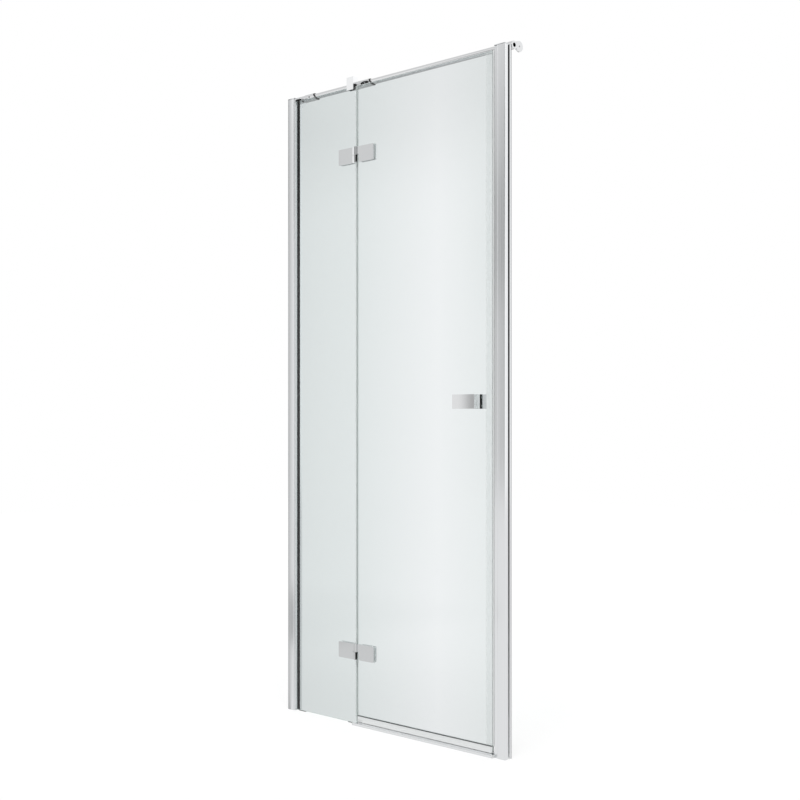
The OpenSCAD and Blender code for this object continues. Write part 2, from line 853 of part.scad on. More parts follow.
module bottom_hinge_door_leaf() {
  color(CHROME) translate([0, 0, hinge_low]) door_leaf();
}

module top_hinge_door_plate() {
  color(CHROME) translate([0, 0, hinge_high]) inner_plate(DOOR);
}

module bottom_hinge_door_plate() {
  color(CHROME) translate([0, 0, hinge_low]) inner_plate(DOOR);
}

module fixed_hinge_gaskets() {
  color(CLEAR) hinge_gaskets(FIXED);
}

module door_hinge_gaskets() {
  color(CLEAR) hinge_gaskets(DOOR);
}

module fixed_hinge_screws() {
  color(STEEL) hinge_screws(FIXED);
}

module door_hinge_screws() {
  color(STEEL) hinge_screws(DOOR);
}

module fixed_hinge_sleeves() {
  color(WHITE) hinge_sleeves(FIXED);
}

module door_hinge_sleeves() {
  color(WHITE) hinge_sleeves(DOOR);
}

// Black bush that stands on the cradle's floor
module hinge_bearings() {
  foot = cradle_floor - half_hinge;
  color(BLACK) for (z = hinge_heights) translate([axis_x, axis_y, z + foot]) difference() {
    cylinder(h = cradle_top - foot, r = bearing_r);
    translate([0, 0, -CUT]) cylinder(h = hinge_h, r = pin_r + pin_play);
  }
}

module hinge_washers() {
  color(WHITE) for (z = hinge_heights) translate([axis_x, axis_y, z + cradle_top]) difference() {
    cylinder(h = washer_t, r = bearing_r);
    translate([0, 0, -CUT]) cylinder(h = hinge_h, r = pin_r + washer_play);
  }
}

module hinge_pins() {
  color(STEEL) for (z = hinge_heights) translate([axis_x, axis_y, z - half_hinge + pin_inset])
    cylinder(h = hinge_h - 2 * pin_inset, r = pin_r);
}

// ---- threshold ----

module strip_outline() {
  difference() {
    round_rect(-threshold_front, -threshold_h, threshold_back, threshold_h, threshold_edge_r);
    rect(-threshold_front - CUT, -threshold_h - CUT, threshold_back + CUT, 0);
  }
}

// The strip's two closed chambers, made smaller by the slack given
module strip_chambers(slack) {
  low = threshold_wall + slack;
  high = threshold_h - threshold_wall - slack;
  rect(-threshold_front + low, low, -threshold_rib - slack, high);
  rect(-threshold_rib + low, low, threshold_back - low, high);
}

module threshold_strip() {
  color(ALUMINIUM) along_x(strip_start + end_cap_t, closing_x - end_cap_t) difference() {
    strip_outline();
    strip_chambers(0);
  }
}

module threshold_end_caps() {
  left = strip_start + end_cap_t;
  right = closing_x - end_cap_t;
  color(WHITE) {
    along_x(strip_start, left) strip_outline();
    along_x(left, left + plug_l) strip_chambers(fit_gap);
    along_x(right, closing_x) strip_outline();
    along_x(right - plug_l, right) strip_chambers(fit_gap);
  }
}

// ---- stabiliser ----

module bar_axis() {
  translate([0, bar_y, bar_z]) children();
}

module short_bar() {
  color(CHROME) bar_axis() rod_x(bracket_end - bar_seat, clamp_mid - bar_gap / 2, bar_r);
}

module long_bar() {
  color(CHROME) bar_axis() rod_x(clamp_mid + bar_gap / 2, bar_seat - bracket_end, bar_r);
}

// Disc on the wall, arm and socket, drawn from the wall
module wall_bracket() {
  arm_half = socket_r / 2;
  arm_l = socket_l - bar_seat;
  arm_y = rosette_y - 2 * rosette_hole_r;
  difference() {
    union() {
      bar_axis() rod_x(0, socket_l, socket_r);
      translate([0, rosette_y, bar_z]) rod_x(0, rosette_t, rosette_r);
      box([0, bar_y, bar_z - arm_half], [rosette_t, rosette_y, bar_z + arm_half]);
      box([0, bar_y, bar_z - arm_half], [arm_l, arm_y, bar_z + arm_half]);
    }
    bar_axis() {
      rod_x(-CUT, core_l, core_r);
      rod_x(arm_l, socket_l + CUT, bar_r + fit_gap);
      translate([socket_screw_u, 0, 0]) rotate([socket_screw_turn, 0, 0])
        rod_y(-socket_r - CUT, 0, socket_screw_r + fit_gap);
    }
    translate([0, rosette_y, bar_z]) rod_x(-CUT, socket_l, rosette_hole_r);
  }
}

module left_wall_bracket() {
  color(CHROME) from_left() wall_bracket();
}

module right_wall_bracket() {
  color(CHROME) from_right() wall_bracket();
}

// Tube round the bar, longer below than above, with a hole for its set screw
module slanted_tube(start, length, outer, inner) {
  top = start + length - collar_slant / 2;
  foot = top + collar_slant;
  difference() {
    rod_x(start, foot, outer);
    rod_x(start - CUT, foot + CUT, inner);
    translate([start + collar_screw, 0, 0]) rod_y(-outer - CUT, 0, set_screw_r + fit_gap);
    slab(-outer - CUT, outer + CUT)
      polygon([[foot, -collar_r], [foot + collar_slant, -collar_r],
        [foot + collar_slant, collar_r + CUT], [top, collar_r + CUT], [top, collar_r]]);
  }
}

module left_bar_collar() {
  color(CHROME) bar_axis() slanted_tube(bracket_end, collar_l, collar_r, liner_r + fit_gap);
}

// Collar whose lens-shaped window shows the black liner
module clamp_bar_collar() {
  lens_r = (window_l * window_l / 4 + window_depth * window_depth) / (2 * window_depth);
  color(CHROME) bar_axis() difference() {
    slanted_tube(clamp_end, collar_l, collar_r, liner_r + fit_gap);
    translate([clamp_end + collar_screw, window_depth - collar_r - lens_r, -collar_r - CUT])
      cylinder(h = 2 * collar_r + 2 * CUT, r = lens_r);
  }
}

module collar_liners() {
  color(BLACK) bar_axis() for (start = [bracket_end, clamp_end])
    slanted_tube(start, collar_l + liner_reach, liner_r, bar_r + fit_gap);
}

// Black grub screws in both sockets and in the left collar
module bar_set_screws() {
  socket_x = half_w - socket_screw_u;
  color(BLACK) bar_axis() {
    for (x = [-socket_x, socket_x]) translate([x, 0, 0]) rotate([socket_screw_turn, 0, 0])
      grub_screw(socket_r, socket_screw_r);
    translate([bracket_end + collar_screw, 0, 0]) grub_screw(collar_r, set_screw_r);
  }
}

// Grub screw that reaches the bar from a distance, with a hexagon socket in its outer end
module grub_screw(distance, r) {
  depth = (distance - bar_r) * SOCKET_DEPTH;
  difference() {
    rod_y(-distance, -bar_r - fit_gap, r);
    translate([0, -distance - CUT, 0]) rotate([-90, 0, 0])
      cylinder(h = depth + CUT, r = r * SOCKET, $fn = HEX);
  }
}

// Block over the glass edge, with a ring behind it for the ends of both bars
module glass_clamp() {
  color(CHROME) difference() {
    union() {
      box([clamp_start, -clamp_front, clamp_foot], [clamp_end, clamp_back, clamp_foot + clamp_h]);
      bar_axis() rod_x(clamp_start, clamp_end, ring_r);
      box([clamp_start, 0, bar_z - neck_h / 2], [clamp_end, bar_y, bar_z + neck_h / 2]);
    }
    bar_axis() rod_x(clamp_start - CUT, clamp_end + CUT, bar_r + fit_gap);
    box([clamp_start - CUT, -groove_half, clamp_foot - CUT],
      [clamp_end + CUT, groove_half, groove_top]);
    clamp_screw_places() rod_y(groove_half - CUT, clamp_back + CUT, clamp_screw_r + fit_gap);
    ring_screw_places() translate([0, 0, bar_r - CUT])
      cylinder(h = ring_r - bar_r + 2 * CUT, r = clamp_screw_r + fit_gap);
  }
}

module clamp_screw_places() {
  for (x = clamp_screws_x) translate([x, 0, clamp_foot + clamp_grip / 2]) children();
}

module ring_screw_places() {
  bar_axis() for (x = clamp_screws_x) translate([x, 0, 0]) children();
}

module clamp_pad() {
  color(BLACK) difference() {
    box([clamp_start - pad_end, -groove_half, clamp_foot + pad_lift],
      [clamp_end + pad_end, groove_half, groove_top]);
    box([clamp_start - pad_end - CUT, -half_glass, clamp_foot],
      [clamp_end + pad_end + CUT, half_glass, pane_top]);
  }
}

// Steel grub screws in the clamp, in its ring and in the collar beside it
module clamp_set_screws() {
  color(STEEL) {
    bar_axis() translate([clamp_end + collar_screw, 0, 0]) grub_screw(liner_r, set_screw_r);
    clamp_screw_places() rod_y(groove_half, clamp_back, clamp_screw_r);
    ring_screw_places() translate([0, 0, bar_r + fit_gap])
      cylinder(h = ring_r - bar_r - fit_gap, r = clamp_screw_r);
  }
}

// ---- door ----

module door_pane() {
  color(GLASS) difference() {
    box([door_edge, -half_glass, door_pane_foot], [door_end, half_glass, pane_top]);
    hinge_holes(DOOR, glass_hole_r, -glass_t, glass_t);
    handle_holes(-glass_t, glass_t, handle_hole_r);
  }
}

module handle_holes(y0, y1, r) {
  for (z = handle_heights) translate([leg_x, 0, z]) rod_y(y0, y1, r);
}

// Flat plate that stands off the glass on one leg at the closing side
module outer_handle() {
  foot = handle_z - handle_h / 2;
  front = -half_glass - handle_reach;
  color(CHROME) difference() {
    upright(foot, foot + handle_h) {
      rect(handle_end - handle_l, front, handle_end, front + handle_t);
      rect(handle_end - leg_w, front, handle_end, spacer_y);
    }
    handle_holes(spacer_y - handle_thread - fit_gap, spacer_y + CUT, handle_screw_r + fit_gap);
  }
}

module handle_spacer() {
  foot = handle_z - handle_h / 2;
  color(BLACK) difference() {
    box([handle_end - leg_w, spacer_y, foot], [handle_end, -half_glass, foot + handle_h]);
    handle_holes(spacer_y - CUT, 0, handle_screw_r + fit_gap);
  }
}

module knob_washer() {
  foot = handle_z - handle_h / 2;
  color(CLEAR) difference() {
    box([handle_end - knob_w, half_glass, foot], [handle_end, knob_y, foot + handle_h]);
    handle_holes(0, knob_y + CUT, handle_screw_r + fit_gap);
  }
}

module inner_knob() {
  foot = handle_z - handle_h / 2;
  color(CHROME) difference() {
    box([handle_end - knob_w, knob_y, foot], [handle_end, knob_y + knob_d, foot + handle_h]);
    handle_holes(knob_y - CUT, knob_y + knob_d, handle_screw_r + fit_gap);
    handle_holes(knob_y + knob_floor, knob_y + knob_d + CUT, handle_head_r + fit_gap);
  }
}

module handle_screws() {
  seat = knob_y + knob_floor;
  color(STEEL) difference() {
    union() {
      handle_holes(spacer_y - handle_thread, seat, handle_screw_r);
      handle_holes(seat, seat + handle_head_h, handle_head_r);
    }
    for (z = handle_heights) translate([leg_x, seat + handle_head_h * (1 - SOCKET_DEPTH), z])
      rotate([-90, 0, 0]) cylinder(h = handle_head_h, r = handle_screw_r * SOCKET, $fn = HEX);
  }
}

module handle_sleeves() {
  color(WHITE) difference() {
    handle_holes(-half_glass, half_glass, handle_hole_r - fit_gap);
    handle_holes(-glass_t, glass_t, handle_screw_r + fit_gap);
  }
}

// Clip, bridge and two skirts of the bottom seal, in Y and Z
module bottom_seal_section(lean) {
  outer = half_glass + clip_t;
  for (side = [0, 1]) mirror([side, 0]) {
    polygon([[outer - clip_t, bridge], [outer + lean - clip_t, skirt_foot],
      [outer + lean, skirt_foot], [outer, bridge]]);
    bottom_clip_leg();
  }
  rect(-outer, bridge, outer, door_pane_foot);
}

// Leg of the bottom seal behind the glass, with the bead along its top
module bottom_clip_leg() {
  top = door_pane_foot + bottom_clip_h;
  rect(half_glass, bridge, half_glass + clip_t, top);
  rect(half_glass, top - bead_h, half_glass + clip_t + bead_t, top);
}

module door_bottom_seal() {
  color(CLEAR) along_x(door_edge + end_block_inset + end_block_l, door_end)
    bottom_seal_section(skirt_lean);
}

// Solid moulded end of the bottom seal
module seal_end_block() {
  outer = half_glass + clip_t;
  start = door_edge + end_block_inset;
  foot = outer - end_block_step;
  color(CLEAR) along_x(start, start + end_block_l) {
    rect(-foot, skirt_foot, foot, door_pane_foot);
    rect(-outer, bridge, outer, door_pane_foot);
    for (side = [0, 1]) mirror([side, 0]) bottom_clip_leg();
  }
}

// Clip on the door's closing edge and the chamber for its magnet
module magnetic_seal() {
  web_half = half_glass / 2;
  color(WHITE) upright(magnet_foot, pane_top) difference() {
    union() {
      clip_legs(door_end - magnet_clip_l, door_end + clip_t);
      rect(door_end, -half_glass, door_end + clip_t, half_glass);
      rect(door_end, -web_half, seal_face - seal_head_l, web_half);
      rect(seal_face - seal_head_l, -seal_head_w / 2, seal_face, seal_head_w / 2);
    }
    rect(seal_face - seal_head_l + seal_wall, -seal_head_w / 2 + seal_wall,
      seal_face - seal_wall, seal_head_w / 2 - seal_wall);
  }
}

module door_magnet() {
  half = seal_head_w / 2 - seal_wall - fit_gap;
  face = seal_face - seal_wall - fit_gap;
  color(BLACK) upright(magnet_foot, pane_top) rect(face - magnet_t, -half, face, half);
}

left_wall_channel();
right_wall_channel();
left_glazing_profile();
right_closing_profile();
left_top_cap();
right_top_cap();
front_glazing_seal();
rear_glazing_gasket();
left_lock_screws();
right_lock_screws();
left_screw_covers();
right_screw_covers();
magnet_holder();
frame_magnet();
fixed_pane();
setting_blocks();
edge_seal();
top_hinge_fixed_leaf();
bottom_hinge_fixed_leaf();
top_hinge_fixed_plate();
bottom_hinge_fixed_plate();
fixed_hinge_gaskets();
fixed_hinge_screws();
fixed_hinge_sleeves();
hinge_bearings();
hinge_washers();
threshold_strip();
threshold_end_caps();
short_bar();
long_bar();
left_wall_bracket();
right_wall_bracket();
left_bar_collar();
clamp_bar_collar();
collar_liners();
bar_set_screws();
glass_clamp();
clamp_pad();
clamp_set_screws();
door_pane();
top_hinge_door_leaf();
bottom_hinge_door_leaf();
top_hinge_door_plate();
bottom_hinge_door_plate();
door_hinge_gaskets();
door_hinge_screws();
door_hinge_sleeves();
hinge_pins();
outer_handle();
handle_spacer();
inner_knob();
knob_washer();
handle_screws();
handle_sleeves();
door_bottom_seal();
seal_end_block();
magnetic_seal();
door_magnet();
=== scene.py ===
"""Looks of the recess shower door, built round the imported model. In metres, apart from the sizes
that a comment gives in millimetres."""

import json
import math

import bmesh
import bpy
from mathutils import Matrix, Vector


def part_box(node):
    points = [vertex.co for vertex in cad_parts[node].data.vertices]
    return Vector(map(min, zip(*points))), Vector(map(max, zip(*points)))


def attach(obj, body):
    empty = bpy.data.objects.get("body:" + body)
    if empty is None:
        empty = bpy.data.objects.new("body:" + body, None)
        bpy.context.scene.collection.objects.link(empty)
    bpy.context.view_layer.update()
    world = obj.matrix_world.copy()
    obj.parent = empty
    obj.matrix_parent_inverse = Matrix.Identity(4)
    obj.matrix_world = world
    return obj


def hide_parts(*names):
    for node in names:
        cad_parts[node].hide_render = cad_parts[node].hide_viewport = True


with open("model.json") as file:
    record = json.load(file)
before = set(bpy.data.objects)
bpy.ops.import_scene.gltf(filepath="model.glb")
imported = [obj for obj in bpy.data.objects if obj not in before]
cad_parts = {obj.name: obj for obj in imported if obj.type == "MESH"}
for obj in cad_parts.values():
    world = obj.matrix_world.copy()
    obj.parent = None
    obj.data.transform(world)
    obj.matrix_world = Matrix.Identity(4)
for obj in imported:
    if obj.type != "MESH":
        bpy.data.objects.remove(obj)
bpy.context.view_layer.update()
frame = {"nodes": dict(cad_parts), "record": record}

# a millimetre
MM = 0.001


# ---- nodes and colours ----

def colour(code):
    """An sRGB hex code as linear red, green, blue and full alpha."""
    parts = [int(code[i:i + 2], 16) / 255 for i in (0, 2, 4)]
    return [p / 12.92 if p <= 0.04045 else ((p + 0.055) / 1.055) ** 2.4 for p in parts] + [1.0]


def add(tree, kind, inputs=None, **settings):
    """Adds a node with its settings. An input is given by name, or by number where the names
    repeat, and is a value or the output that it is linked to."""
    made = tree.nodes.new(kind)
    for name, value in settings.items():
        setattr(made, name, value)
    for name, value in (inputs or {}).items():
        if isinstance(value, bpy.types.NodeSocket):
            tree.links.new(value, made.inputs[name])
        else:
            made.inputs[name].default_value = value
    return made


def empty_tree(name):
    """A new material without nodes: itself and its tree."""
    made = bpy.data.materials.new(name)
    made.use_nodes = True
    made.node_tree.nodes.clear()
    return made, made.node_tree


def finish_tree(name, constants=None):
    """A new material: itself, its tree, its Principled shader and Object coordinates in it.
    The constants are the shader's inputs that are the same all over the surface."""
    made, tree = empty_tree(name)
    shader = add(tree, "ShaderNodeBsdfPrincipled", constants)
    add(tree, "ShaderNodeOutputMaterial", {"Surface": shader.outputs[0]})
    return made, tree, shader, add(tree, "ShaderNodeTexCoord").outputs["Object"]


def grain(tree, place, size_mm, detail=3.0):
    """Noise whose features have these sizes along X, Y and Z, in millimetres."""
    scaled = add(tree, "ShaderNodeMapping", {"Vector": place,
        "Scale": [1 / (s * MM) for s in size_mm]}, vector_type="POINT")
    return add(tree, "ShaderNodeTexNoise", {"Vector": scaled.outputs[0], "Scale": 1.0,
        "Detail": detail, "Roughness": 0.55}).outputs["Fac"]


# the levels between which nearly all of a noise lies
NOISE_LOW, NOISE_HIGH = 0.3, 0.7


def vary(tree, shader, noise, dark, light, rough, bump=0.0, depth_mm=0.05):
    """Lets noise move the colour between two codes and the roughness between two values."""
    mix = add(tree, "ShaderNodeMix", {0: noise, 6: colour(dark), 7: colour(light)},
        data_type="RGBA")
    tree.links.new(mix.outputs[2], shader.inputs["Base Color"])
    spread = add(tree, "ShaderNodeMapRange", {"Value": noise, "From Min": NOISE_LOW,
        "From Max": NOISE_HIGH, "To Min": rough[0], "To Max": rough[1]})
    tree.links.new(spread.outputs[0], shader.inputs["Roughness"])
    if bump:
        raised = add(tree, "ShaderNodeBump", {"Height": noise, "Strength": bump,
            "Distance": depth_mm * MM})
        tree.links.new(raised.outputs[0], shader.inputs["Normal"])


# what is left of a lamp's colour behind glass
BEHIND_GLASS = "E4EEEB"


def let_lamps_through(tree, shader):
    """Lets lamps shine through glass, so that it throws no black shadow."""
    lamp = add(tree, "ShaderNodeLightPath").outputs["Is Shadow Ray"]
    open_way = add(tree, "ShaderNodeBsdfTransparent", {"Color": colour(BEHIND_GLASS)})
    mix = add(tree, "ShaderNodeMixShader", {0: lamp, 1: shader.outputs[0],
        2: open_way.outputs[0]})
    out = [n for n in tree.nodes if n.type == "OUTPUT_MATERIAL"][0]
    tree.links.new(mix.outputs[0], out.inputs["Surface"])


# ---- materials ----

METAL = {"Metallic": 1.0}
GLASS_IOR, PVC_IOR = 1.52, 1.53
EDGE_GLASS = {"Transmission Weight": 0.35, "IOR": GLASS_IOR}
DULL_BLACK = {"Specular IOR Level": 0.3}

# die lines along an extrusion are about 0.3 mm wide; drawn 1.5 mm wide so that they show
DIE_LINES = (1.5, 1.5, 900)
# waves that a grinding belt leaves along a glass edge, and the flow of extruded soft plastic
BELT_WAVES = (6, 3, 40)
PVC_FLOW = (4, 4, 60)


def bright_anodised_aluminium():
    """Extruded, polished and anodised: a soft mirror with faint straight die lines along it."""
    made, tree, shader, place = finish_tree("bright_anodised_aluminium", METAL)
    lines = grain(tree, place, DIE_LINES, detail=2.0)
    vary(tree, shader, lines, "E0E2E4", "EBECED", (0.10, 0.15), bump=0.03, depth_mm=0.02)
    return made


def polished_chrome():
    """Turned and milled brass, polished and chrome plated: a mirror with a trace of haze."""
    made, tree, shader, place = finish_tree("polished_chrome", METAL)
    # buffing leaves the haze in patches about 9 mm wide
    haze = grain(tree, place, (9, 9, 9), detail=4.0)
    vary(tree, shader, haze, "DCDDDE", "E3E4E5", (0.05, 0.09))
    return made


def tumbled_chrome():
    """Cast zinc, tumbled and chrome plated: a greyer, slightly softer mirror than on brass."""
    made, tree, shader, place = finish_tree("tumbled_chrome", METAL)
    # tumbling leaves the haze in patches about 7 mm wide
    haze = grain(tree, place, (7, 7, 7), detail=4.0)
    vary(tree, shader, haze, "C9CBCC", "D0D1D2", (0.06, 0.11), bump=0.02)
    return made


def painted_shade_bore():
    """Inside of a casting, reached by the plating but not polished, so rough; drawn dark as
    painted shade in the hollow.
    """
    made, tree, shader, place = finish_tree("painted_shade_bore", METAL)
    # the pits of a cast skin are about 0.3 mm wide; drawn 1.5 mm wide so that they show
    pits = grain(tree, place, (1.5, 1.5, 1.5))
    vary(tree, shader, pits, "2A2B2C", "3C3D3E", (0.4, 0.6), bump=0.2)
    return made


# the groove's dark grey is painted shade, and its paler foot is painted light from the floor
# height in metres below which the groove gets paler, and the power that keeps it dark for longer
GROOVE_PALES_BELOW = 1.75
GROOVE_STAYS_DARK = 1.3


def painted_shade_groove():
    """Inside of an extruded groove, never polished and so rough; its dark grey is painted shade in
    the recess, drawn paler towards its foot as painted light from the floor, as it looks on the
    real door."""
    made, tree, shader, place = finish_tree("painted_shade_groove", METAL)
    lines = grain(tree, place, DIE_LINES)
    vary(tree, shader, lines, "47484A", "5B5C5E", (0.4, 0.5), bump=0.05)
    # the painted shade's dark grey, before painted light from the floor pales it
    dull = shader.inputs["Base Color"].links[0].from_socket
    height = add(tree, "ShaderNodeSeparateXYZ", {"Vector": place}).outputs["Z"]
    down = add(tree, "ShaderNodeMapRange", {"Value": height, "From Min": GROOVE_PALES_BELOW,
        "From Max": 0.0, "To Min": 0.0, "To Max": 1.0})
    pale = add(tree, "ShaderNodeMath", {0: down.outputs[0], 1: GROOVE_STAYS_DARK},
        operation="POWER")
    mix = add(tree, "ShaderNodeMix", {0: pale.outputs[0], 6: dull, 7: colour("FAFBFB")},
        data_type="RGBA")
    tree.links.new(mix.outputs[2], shader.inputs["Base Color"])
    return made


def painted_shadow_at_wall():
    """The channel's edge at the wall: mid grey, as a painted shadow line where it meets the wall.
    """
    made, tree, shader, place = finish_tree("painted_shadow_at_wall", METAL)
    lines = grain(tree, place, DIE_LINES)
    vary(tree, shader, lines, "6A6B6D", "7A7B7D", (0.4, 0.5), bump=0.05)
    return made


# tint of the glass with painted shade towards its sides, from the left profile to the closing
# edge, which lie at these X in metres
GLASS_FROM, GLASS_TO = -0.43, 0.40
GLASS_TINT_AND_SHADE = [(0.0, "D8DEDE"), (0.35, "DFE5E5"), (0.75, "EEF1F2"), (1.0, "E6EBEB")]
# painted shade at the two ends of a pane: from and to in height, in metres, and the share of the
# tint's brightness that it keeps at both heights
GLASS_FOOT_SHADE = (0.02, 0.35, 0.92, 1.0)
GLASS_HEAD_SHADE = (1.5, 1.9, 1.0, 0.90)


def toughened_glass():
    """Float glass, toughened: flat, glossy, with a faint cool tint, darkened a trace by painted
    shade towards both sides, the top and the foot, as it looks on the real door."""
    made, tree, shader, place = finish_tree("toughened_glass", {"Transmission Weight": 1.0,
        "IOR": GLASS_IOR, "Roughness": 0.0})
    split = add(tree, "ShaderNodeSeparateXYZ", {"Vector": place})
    across = add(tree, "ShaderNodeMapRange", {"Value": split.outputs["X"],
        "From Min": GLASS_FROM, "From Max": GLASS_TO})
    ramp = add(tree, "ShaderNodeValToRGB", {"Fac": across.outputs[0]})
    for spot, _ in GLASS_TINT_AND_SHADE[1:-1]:
        ramp.color_ramp.elements.new(spot)
    for element, (spot, code) in zip(ramp.color_ramp.elements, GLASS_TINT_AND_SHADE):
        element.position = spot
        element.color = colour(code)
    ends = [add(tree, "ShaderNodeMapRange", {"Value": split.outputs["Z"], "From Min": low,
        "From Max": high, "To Min": at_low, "To Max": at_high}, interpolation_type="SMOOTHSTEP")
        for low, high, at_low, at_high in (GLASS_HEAD_SHADE, GLASS_FOOT_SHADE)]
    both = add(tree, "ShaderNodeMath", {0: ends[0].outputs[0], 1: ends[1].outputs[0]},
        operation="MULTIPLY")
    tint_and_shade = add(tree, "ShaderNodeVectorMath", {0: ramp.outputs[0], "Scale": both.outputs[0]},
        operation="SCALE")
    tree.links.new(tint_and_shade.outputs[0], shader.inputs["Base Color"])
    let_lamps_through(tree, shader)
    return made


def polished_glass_edge():
    """Ground and polished glass edge: the green of the glass shows, a little frosted."""
    made, tree, shader, place = finish_tree("polished_glass_edge", EDGE_GLASS)
    vary(tree, shader, grain(tree, place, BELT_WAVES), "E6EFEC", "EEF5F3", (0.06, 0.12))
    let_lamps_through(tree, shader)
    return made


def seamed_glass_edge():
    """A hidden glass edge, only seamed on a belt: frosted and grey green."""
    made, tree, shader, place = finish_tree("seamed_glass_edge", EDGE_GLASS)
    vary(tree, shader, grain(tree, place, BELT_WAVES), "CCD6D2", "D8E0DD", (0.35, 0.5))
    let_lamps_through(tree, shader)
    return made


def clear_pvc():
    """Soft extruded clear plastic: thin, a little milky, with a dull shine."""
    made, tree, shader, place = finish_tree("clear_pvc", {"IOR": PVC_IOR, "Alpha": 0.10})
    flow = grain(tree, place, PVC_FLOW)
    vary(tree, shader, flow, "F0F4F4", "F8FAFA", (0.16, 0.30), bump=0.05)
    return made


def painted_shade_pvc_rim():
    """The same clear plastic seen along its whole length, as at a lip: glossy, and drawn dark as
    painted shade.
    """
    made, tree, shader, place = finish_tree("painted_shade_pvc_rim", {"IOR": PVC_IOR})
    flow = grain(tree, place, PVC_FLOW)
    vary(tree, shader, flow, "1E2324", "2A3031", (0.2, 0.34), bump=0.05)
    return made


def milky_pvc():
    """The same plastic filled with chalk, as under clamped glass: nearly white, satin."""
    made, tree, shader, place = finish_tree("milky_pvc", {"IOR": PVC_IOR, "Alpha": 0.95})
    # the chalk lies in faint clouds about 4 mm wide
    clouds = grain(tree, place, (4, 4, 4))
    vary(tree, shader, clouds, "F6F9F9", "FCFDFD", (0.3, 0.42), bump=0.05)
    return made


def white_plastic():
    """Moulded and extruded white plastic: satin, faintly uneven."""
    made, tree, shader, place = finish_tree("white_plastic")
    # the skin is uneven over about 2 mm
    skin = grain(tree, place, (2, 2, 2))
    vary(tree, shader, skin, "E3E5E5", "EDEEEE", (0.34, 0.46), bump=0.08)
    return made


def black_rubber():
    """Extruded black rubber: matt, finely grained."""
    made, tree, shader, place = finish_tree("black_rubber", DULL_BLACK)
    # the grain of the skin is about 0.2 mm; drawn 1.2 mm so that it shows
    skin = grain(tree, place, (1.2, 1.2, 1.2))
    vary(tree, shader, skin, "0B0B0C", "171718", (0.6, 0.8), bump=0.3)
    return made


def black_nylon():
    """Turned black nylon: smooth, with a soft sheen."""
    made, tree, shader, place = finish_tree("black_nylon", DULL_BLACK)
    # the lathe's marks lie about 0.1 mm apart; drawn 0.8 mm apart so that they show
    marks = grain(tree, place, (8, 8, 0.8))
    vary(tree, shader, marks, "08080A", "121214", (0.35, 0.5), bump=0.1)
    return made


def magnet_strip():
    """Ferrite powder bonded in plastic: dull dark brown, slightly granular."""
    made, tree, shader, place = finish_tree("magnet_strip")
    # the powder is finer than can be seen; drawn in clumps of 1 mm
    clumps = grain(tree, place, (1, 1, 1))
    vary(tree, shader, clumps, "211D1A", "2E2925", (0.6, 0.75), bump=0.2)
    return made


def turned_stainless_steel():
    """Turned stainless steel: grey metal with fine marks that scatter its shine."""
    made, tree, shader, place = finish_tree("turned_stainless_steel", METAL)
    # the lathe's marks lie about 0.1 mm apart; drawn 0.8 mm apart so that they show
    marks = grain(tree, place, (0.8, 6, 0.8))
    vary(tree, shader, marks, "B4B6B9", "C9CBCE", (0.2, 0.34), bump=0.1)
    return made


def blackened_steel():
    """Black oxide on steel grub screws: nearly black, oily shine."""
    made, tree, shader, place = finish_tree("blackened_steel", METAL)
    # turning marks again, drawn as coarse as on the bright steel
    marks = grain(tree, place, (0.8, 3, 0.8))
    vary(tree, shader, marks, "141517", "26282B", (0.28, 0.42), bump=0.1)
    return made


ALUMINIUM = bright_anodised_aluminium()
CHROME = polished_chrome()
GLASS = toughened_glass()
GLASS_EDGE = polished_glass_edge()
SEAMED_EDGE = seamed_glass_edge()
TUMBLED = tumbled_chrome()
GROOVE_SHADE = painted_shade_groove()
WALL_SHADOW = painted_shadow_at_wall()
CLEAR_PVC = clear_pvc()
PVC_RIM_SHADE = painted_shade_pvc_rim()
MILKY_PVC = milky_pvc()
BORE_SHADE = painted_shade_bore()
WHITE = white_plastic()
RUBBER = black_rubber()
NYLON = black_nylon()
MAGNET = magnet_strip()
STEEL = turned_stainless_steel()
BLACK_STEEL = blackened_steel()

SLOTS = {
    "bright_aluminium": ALUMINIUM, "chrome": CHROME, "clear_glass": GLASS,
    "clear_pvc": CLEAR_PVC, "white_plastic": WHITE, "black_rubber": RUBBER,
    "black_nylon": NYLON, "magnet_strip": MAGNET, "stainless_steel": STEEL,
    "black_steel": BLACK_STEEL,
}
slot_of = {s["node"]: s["material_slot"] for s in frame["record"]["subparts"]}
body_of = {n: b for b, ns in frame["record"]["behaviour"]["bodies"].items() for n in ns}


# ---- sizes of the pieces, in millimetres ----

def corners(node):
    """Lowest and highest corner of a CAD node's box at rest, to a thousandth of a millimetre."""
    return [[round(c / MM, 3) for c in corner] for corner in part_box(node)]


WALL_X, _, CHANNEL_TOP = corners("right_wall_channel")[1]
HINGE_EDGE, PANE_END = [corner[0] for corner in corners("door_pane")]
BOTTOM_SEAL_TOP = corners("door_bottom_seal")[1][2]
MAGNETIC_SEAL_FOOT = corners("magnetic_seal")[0][2]
_, BAR_Y, BAR_Z = [(low + high) / 2 for low, high in zip(*corners("long_bar"))]

# every dressed piece is this much smaller all round, so that no two faces coincide
HAIR = 0.02
# ground off a pane's edges, and how near to a pane's edge its ground faces lie
ARRIS, AT_EDGE = 0.6, 1
# an edge between two faces that turn by more than this, in radians, is a square one
SQUARE = 1
# a face slants towards an axis if more than the first share of its normal lies along it, and is
# a pane's front or back if more than the second share lies along Y
SLANTS, FACES_OUT = 0.01, 0.9
# corners closer than this are one, and corners closer than this to a cut lie on it
WELD, TOUCH = 0.002, 0.001
# neighbouring faces that turn by less than this, in degrees, are one face
FLAT = 0.5
# faces that turn by more than this, in degrees, meet at a sharp edge: on most pieces, and on the
# hinges' outer leaves, of which the fixed ones have shoulders that slope at 19 degrees
EDGE_FROM, SHOULDER_EDGE_FROM = 32, 17
